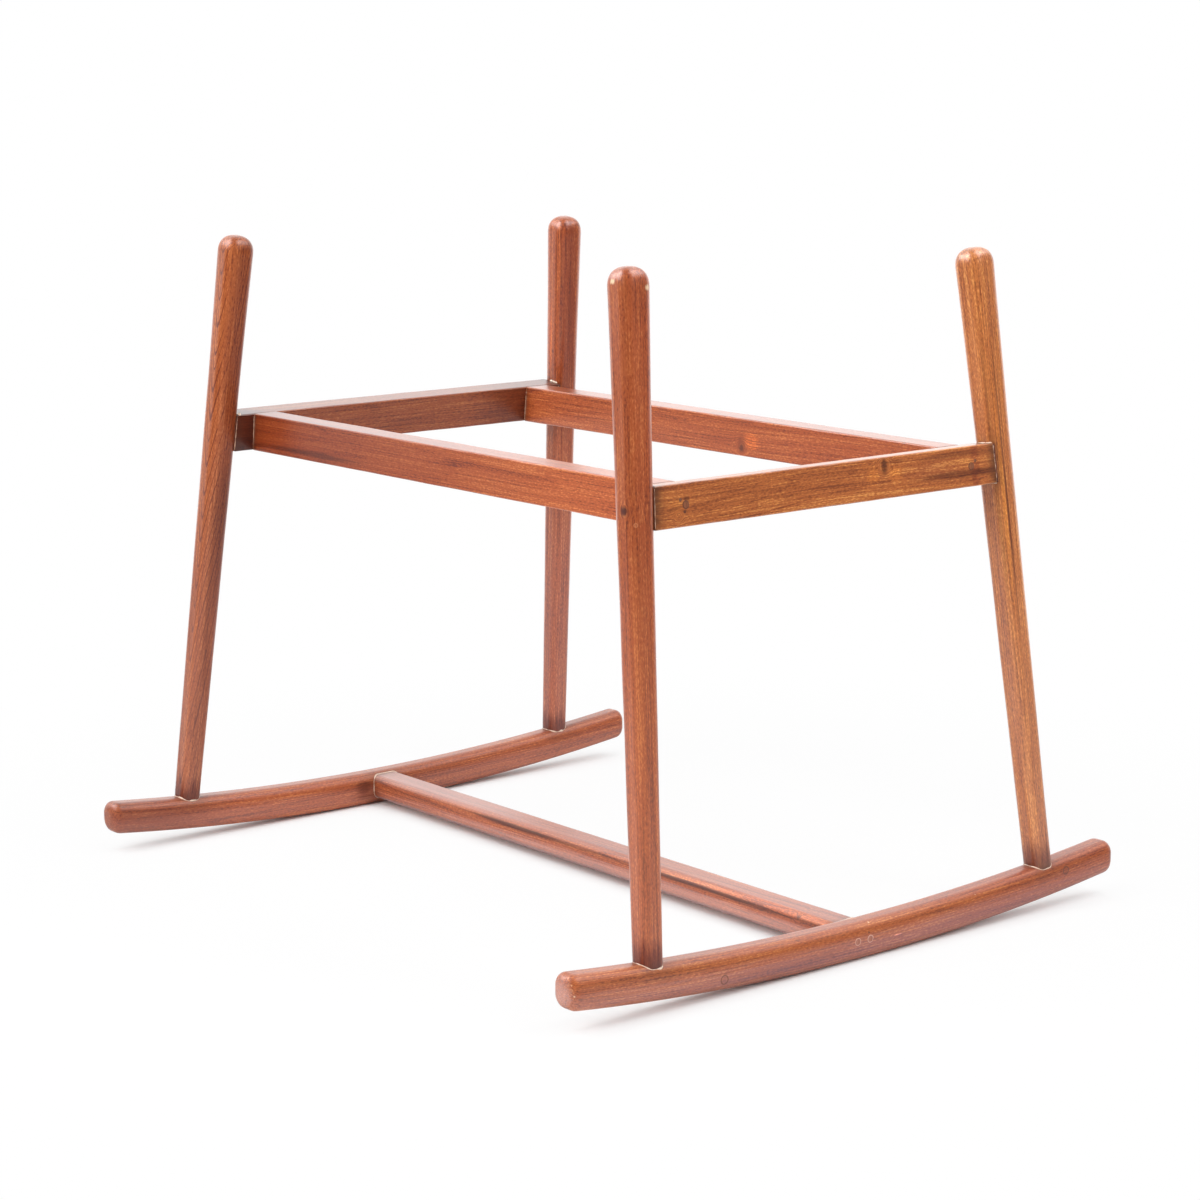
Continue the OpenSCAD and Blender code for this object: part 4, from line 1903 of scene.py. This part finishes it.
BOARDS = {
    "post_front_left": replace(
        TEAK, lot=1, tone=0.86, middle=(178, 91, 46), pith=(-0.003, 0.009), ring=0.0026, taper=-0.12,
        wander=0.006, ringed=1.3, coat_ior=1.42,
        # the low pale patch is painted reflection of the floor, the patch at the foot painted shade, and the
        # last one, over the inner face, painted shade on the side turned away from the light
        streaks=(LOW_PAINTED_SHEEN, FOOT_SHADE, Streak((-14, -6, -60), (7, 20, 420), (215, 200, 204), 0.8, 0.6)),
    ),
    "post_back_left": replace(
        TEAK, lot=2, pith=(0.06, 0.0), ring=0.003, coat_ior=1.52, specular=0.2,
        knots=(Knot((-2, -14, 34), (1, 0, 1), 2.2, 0.8, 0.6),),
        streaks=(
            LOW_PAINTED_SHEEN,
            FOOT_SHADE,
            Streak((1.5, -14, 46), (3, 8, 50), (330, 310, 230), 0.6),
            # painted shade: the inner face darker, on the side turned away from the light
            Streak((-14, -4, 90), (8, 16, 240), (205, 185, 198), 0.85),
            # painted reflection: the lower part paler and bluer, where the varnish mirrors the bright floor
            Streak((0, 0, -260), (80, 80, 240), (262, 274, 300), 0.8, 0.3),
        ),
    ),
    "post_front_right": replace(
        TEAK, lot=3, tone=0.84, pith=(0.05, 0.04), ring=0.003, coat_ior=1.48,
        knots=(Knot((2.8, 13.6, -18.8), (1, 0, 1), 4.6, 0.8, 0.7),),
        streaks=(
            LOW_PAINTED_SHEEN,
            FOOT_SHADE,
            Streak((2.8, 13.6, -18.8), (5.5, 6, 5), (150, 110, 145), 0.9, 1.6),
            # painted light: the lower part lighter, as if lit from the white floor below
            Streak((0, 0, -300), (60, 60, 330), (278, 274, 252), 0.8, 0.0),
            # painted light: the outer face lighter, on the side turned towards the light
            Streak((14, -2, 100), (6, 20, 260), (286, 282, 292), 0.6, 0.4),
            chip((-1.9, 15.3, 168.4), (3.2, 3.2, 2.8)),
            chip((15.1, -7.4, 162.6), (3.2, 3.2, 3.4)),
        ),
        marks=(Mark((11.9, 9.0, -30.3), (1, 1, 1), 1.5, 0.7, (210, 138, 92), 0.6, 0.2),),
    ),
    "post_back_right": replace(
        GOLDEN, lot=4, tone=1.2, pale=(222, 152, 82), middle=(182, 105, 52), pith=(-0.06, 0.03), ring=0.003,
        coat_ior=1.6, specular=0.2,
        streaks=(
            LOW_PAINTED_SHEEN,
            FOOT_SHADE,
            Streak((12.8, -7.2, -40), (6, 2.4, 150), (285, 292, 245), 0.75),
            Streak((13.8, -3.6, -40), (6, 1.5, 170), (150, 130, 120), 0.8),
            Streak((9.5, -11.5, 0), (3, 3, 170), (175, 160, 150), 0.5),
        ),
    ),
    "end_rail_left": replace(
        TEAK, lot=5, tone=0.66, pith=(0.05, 0.01), ring=0.003,
        streaks=(
            Streak((-12, 0, -202), (60, 80, 48), (150, 118, 112), 0.95, 0.4),
            Streak((-12, 0, 165), (60, 60, 90), (170, 145, 140), 0.7, 0.4),
        ),
    ),
    "end_rail_right": replace(
        GOLDEN, lot=6, tone=1.12, pith=(-0.012, 0.004), ring=0.0036, taper=0.03, wander=0.016, ringed=0.4,
        streaked=1.1,
        knots=(
            Knot((12.8, 10.5, 62), (0, 1, 1), 3.6, 2.4, 0.3),
            Knot((12.7, -9, -177), (0, 1, 1), 3.2, 1.5, 0.0),
        ),
        streaks=(
            Streak((12.8, 13, 61), (9, 11, 4.5), (140, 122, 100), 0.9, 2.2),
            Streak((12.8, 0, 174), (8, 60, 7), (215, 185, 192), 0.7, 1.2),
            Streak((12.8, 2, 122), (9, 12, 46), (228, 216, 232), 0.7, 1.2),
            Streak((12.8, 3, 74), (9, 11, 9), (294, 302, 270), 0.65, 1.8),
            Streak((12.8, 2, 47), (9, 11, 8), (294, 302, 270), 0.6, 1.8),
            Streak((12.8, 13, 76), (9, 3, 14), (165, 135, 118), 0.6, 1.8),
            Streak((12.8, 12, 150), (12, 4, 62), (165, 140, 125), 0.6),
            Streak((12.8, -6, 165), (12, 4.5, 80), (150, 125, 112), 0.75),
            Streak((12.7, 0, -180), (12, 9, 12), (272, 282, 262), 0.55),
            Streak((12.7, 4.1, -167.5), (6, 4, 4), (165, 160, 165), 0.7, 0.5),
            Streak((12.7, 0, -72), (6, 40, 0.8), (310, 310, 300), 0.3, 0.3),
        ),
        marks=(Mark((12.7, -5.7, -170.3), (0, 1, 1), 1.5, 0.5, (86, 50, 40), 0.2, 0.8),),
    ),
    "long_rail_front": replace(
        TEAK, lot=7, tone=0.98, pith=(0.05, 0.01), ring=0.0028, ringed=0.35, coat_ior=1.42,
        streaks=(
            Streak((-13, 0, -370), (80, 80, 560), (205, 182, 172), 1.0, 0.3),
            Streak((-13, 0, 330), (80, 80, 260), (272, 276, 280), 0.9, 0.3),
            Streak((-13, -11, -200), (10, 4, 120), (150, 125, 115), 0.7),
        ),
    ),
    "long_rail_back": replace(
        TEAK, lot=8, pith=(-0.03, 0.02), ring=0.0034, specular=0.2,
        knots=(Knot((-13.2, -10.8, 35.8), (0, 1, 1), 4.2, 1.8, 0.6),),
        streaks=(
            Streak((-13, -3, 50), (10, 11, 15), (325, 328, 290), 0.7, 0.9),
            Streak((-13, -7, 36), (10, 10, 8), (180, 155, 145), 0.6),
        ),
    ),
    "rocker_left": replace(
        TEAK, lot=9, pith=(0.04, 0.02), coat_roughness=0.45,
        streaks=(
            # painted reflection: the inner face paler, mirroring the white floor
            painted_sheen((-14.5, 1, 0), (14, 12, 900), 0.12, 0.8),
            Streak((-14, 5, -330), (60, 60, 170), (210, 200, 204), 0.9, 0.3),
            # painted shade: darker on the inner face beside the stretcher, where the joint lies in shade
            Streak((-14.5, 6, -30), (7, 13, 15), (140, 108, 104), 0.75, 1.4),
        ),
    ),
    "rocker_right": replace(
        TEAK, lot=10, tone=0.92, pith=(-0.03, -0.01), coat_ior=1.5, coat_roughness=0.45,
        streaks=(
            # painted reflection: the near end face paler, where it mirrors the white floor and backdrop
            painted_sheen((0, 0, -330), (60, 60, 7), 0.35, 0.6),
            Streak((14, 10, 300), (80, 80, 260), (240, 228, 232), 0.8, 0.3),
            # painted reflection: the outer face paler, mirroring the white floor
            painted_sheen((14.5, 1, 0), (14, 12, 900), 0.12, 0.8),
            Streak((12, 15, 0), (9, 8, 500), (262, 276, 236), 0.6, 1.2),
            # painted reflection: the lower outer face pinker and paler, mirroring the white floor below
            Streak((14.5, -6, 60), (12, 16, 460), (236, 248, 290), 0.9, 1.0),
            # painted light: the near end lighter, as if more light fell there
            Streak((14, 0, -250), (80, 80, 150), (262, 276, 284), 0.8, 0.3),
            Streak((14.5, 3.2, 41.3), (5, 0.8, 7), (400, 430, 450), 0.7, 0.0),
        ),
        marks=(
            Mark((14.4, 0.2, -162.9), (0, 1, 1), 3.8, 1.0, DARK_RING, 0.75, 0.1),
            Mark((14.4, 13.0, 259), (0, 1, 1), 3.4, 1.1, DARK_RING, 0.85, 0.2),
            Mark((14.5, 12.2, 5.7), (0, 1, 1), 1.0, 0.3, (80, 42, 32), 0.0, 0.8),
            nick_and_glint((9.7, 20.2, 9.7), 1.3, 0.9),
            nick_and_glint((12.8, 18.5, 140.9), 1.2, 0.85),
            # painted highlight: these two dots on the near end stand for glints on its rounded edge, not
            # nicks
            nick_and_glint((10.5, 17.0, -325), 1.1, 0.8),
            nick_and_glint((12.0, 8.0, -323), 0.9, 0.7),
        ),
    ),
    "stretcher": replace(
        TEAK, lot=11, tone=0.92, pith=(-0.01, 0.012), taper=0.02, ringed=0.45, coat_ior=1.6,
        coat_roughness=0.55,
        knots=(Knot((8.1, -16.2, 305), (1, 0, 1), 2.6, 1.2, 0.7),),
        streaks=(
            Streak((7.2, -16, -90), (3.2, 10, 150), (118, 84, 72), 0.95, 1.5),
            Streak((6.8, -16, 200), (3.0, 10, 170), (118, 84, 72), 0.95, 1.5),
            # painted reflection: the lower front face paler, mirroring the white floor
            painted_sheen((-5, -17, 180), (9, 12, 620), 0.34, 0.8),
            Streak((10, -14, 330), (5, 8, 300), (330, 335, 285), 0.75, 0.6),
            # painted reflection: the top paler, mirroring the white backdrop
            painted_sheen((12.5, 0, 0), (4, 40, 900), 0.24, 0.6),
            # painted shade: a grey band on the lower front edge, the shadowed floor under the stretcher
            # mirrored there
            Streak((-10, -16, 0), (4, 9, 900), (128, 112, 120), 0.6, 0.2, Blend.COVER),
            # painted reflection: the left part of the top paler still
            painted_sheen((12.5, 0, -250), (5, 40, 190), 0.3, 0.5),
        ),
    ),
}


def dress_hidden() -> None:
    """Gives the dowels, screws and brads inside the wood their finishes."""
    beech = HiddenFinish("dowel_beech", (205, 172, 128), (224, 196, 152), 0.0, 0.55, (300, 300, 40))
    steel = HiddenFinish("zinc_steel", (150, 150, 152), (182, 182, 184), 1.0, 0.38, (500, 500, 500))
    for finish, names in (
        (beech, ("foot_dowels", "rail_dowels")),
        (steel, ("rail_screws", "rail_brads", "stretcher_screws")),
    ):
        material = finish.material()
        for name in names:
            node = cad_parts[name]
            node.data.materials.clear()
            node.data.materials.append(material)
            log.info("%s: finished on its CAD node", name)


def main() -> None:
    """Builds and dresses the stand, piece by piece, and then the studio."""
    logging.basicConfig(level=logging.INFO, format="%(name)s: %(message)s")
    posts = Posts()
    posts.build()
    rails = Rails(posts)
    rails.build()
    base = Base()
    base.build()
    plug = Speck("plug_teak", (130, 74, 46), (150, 88, 54), (76, 42, 30), 0.42)
    low_plug = Speck("plug_teak_low", (160, 94, 72), (180, 112, 88), (244, 202, 184), 0.42)
    filler = Speck("hole_filler", (112, 70, 50), (140, 92, 66), (96, 58, 44), 0.5)
    Fillings(plug, low_plug, filler, base).build()
    glue = Speck("dried_glue", (232, 194, 168), (206, 156, 126), (250, 230, 208), 0.35)
    # dark groove filler, partly painted shade of the grooves
    groove = Speck("groove_filler", (92, 46, 32), (124, 66, 46), (92, 46, 32), 0.5)
    GlueLines(glue, groove, posts, rails, base).build()
    dress_hidden()
    Studio().build()


if __name__ == "__main__":
    main()
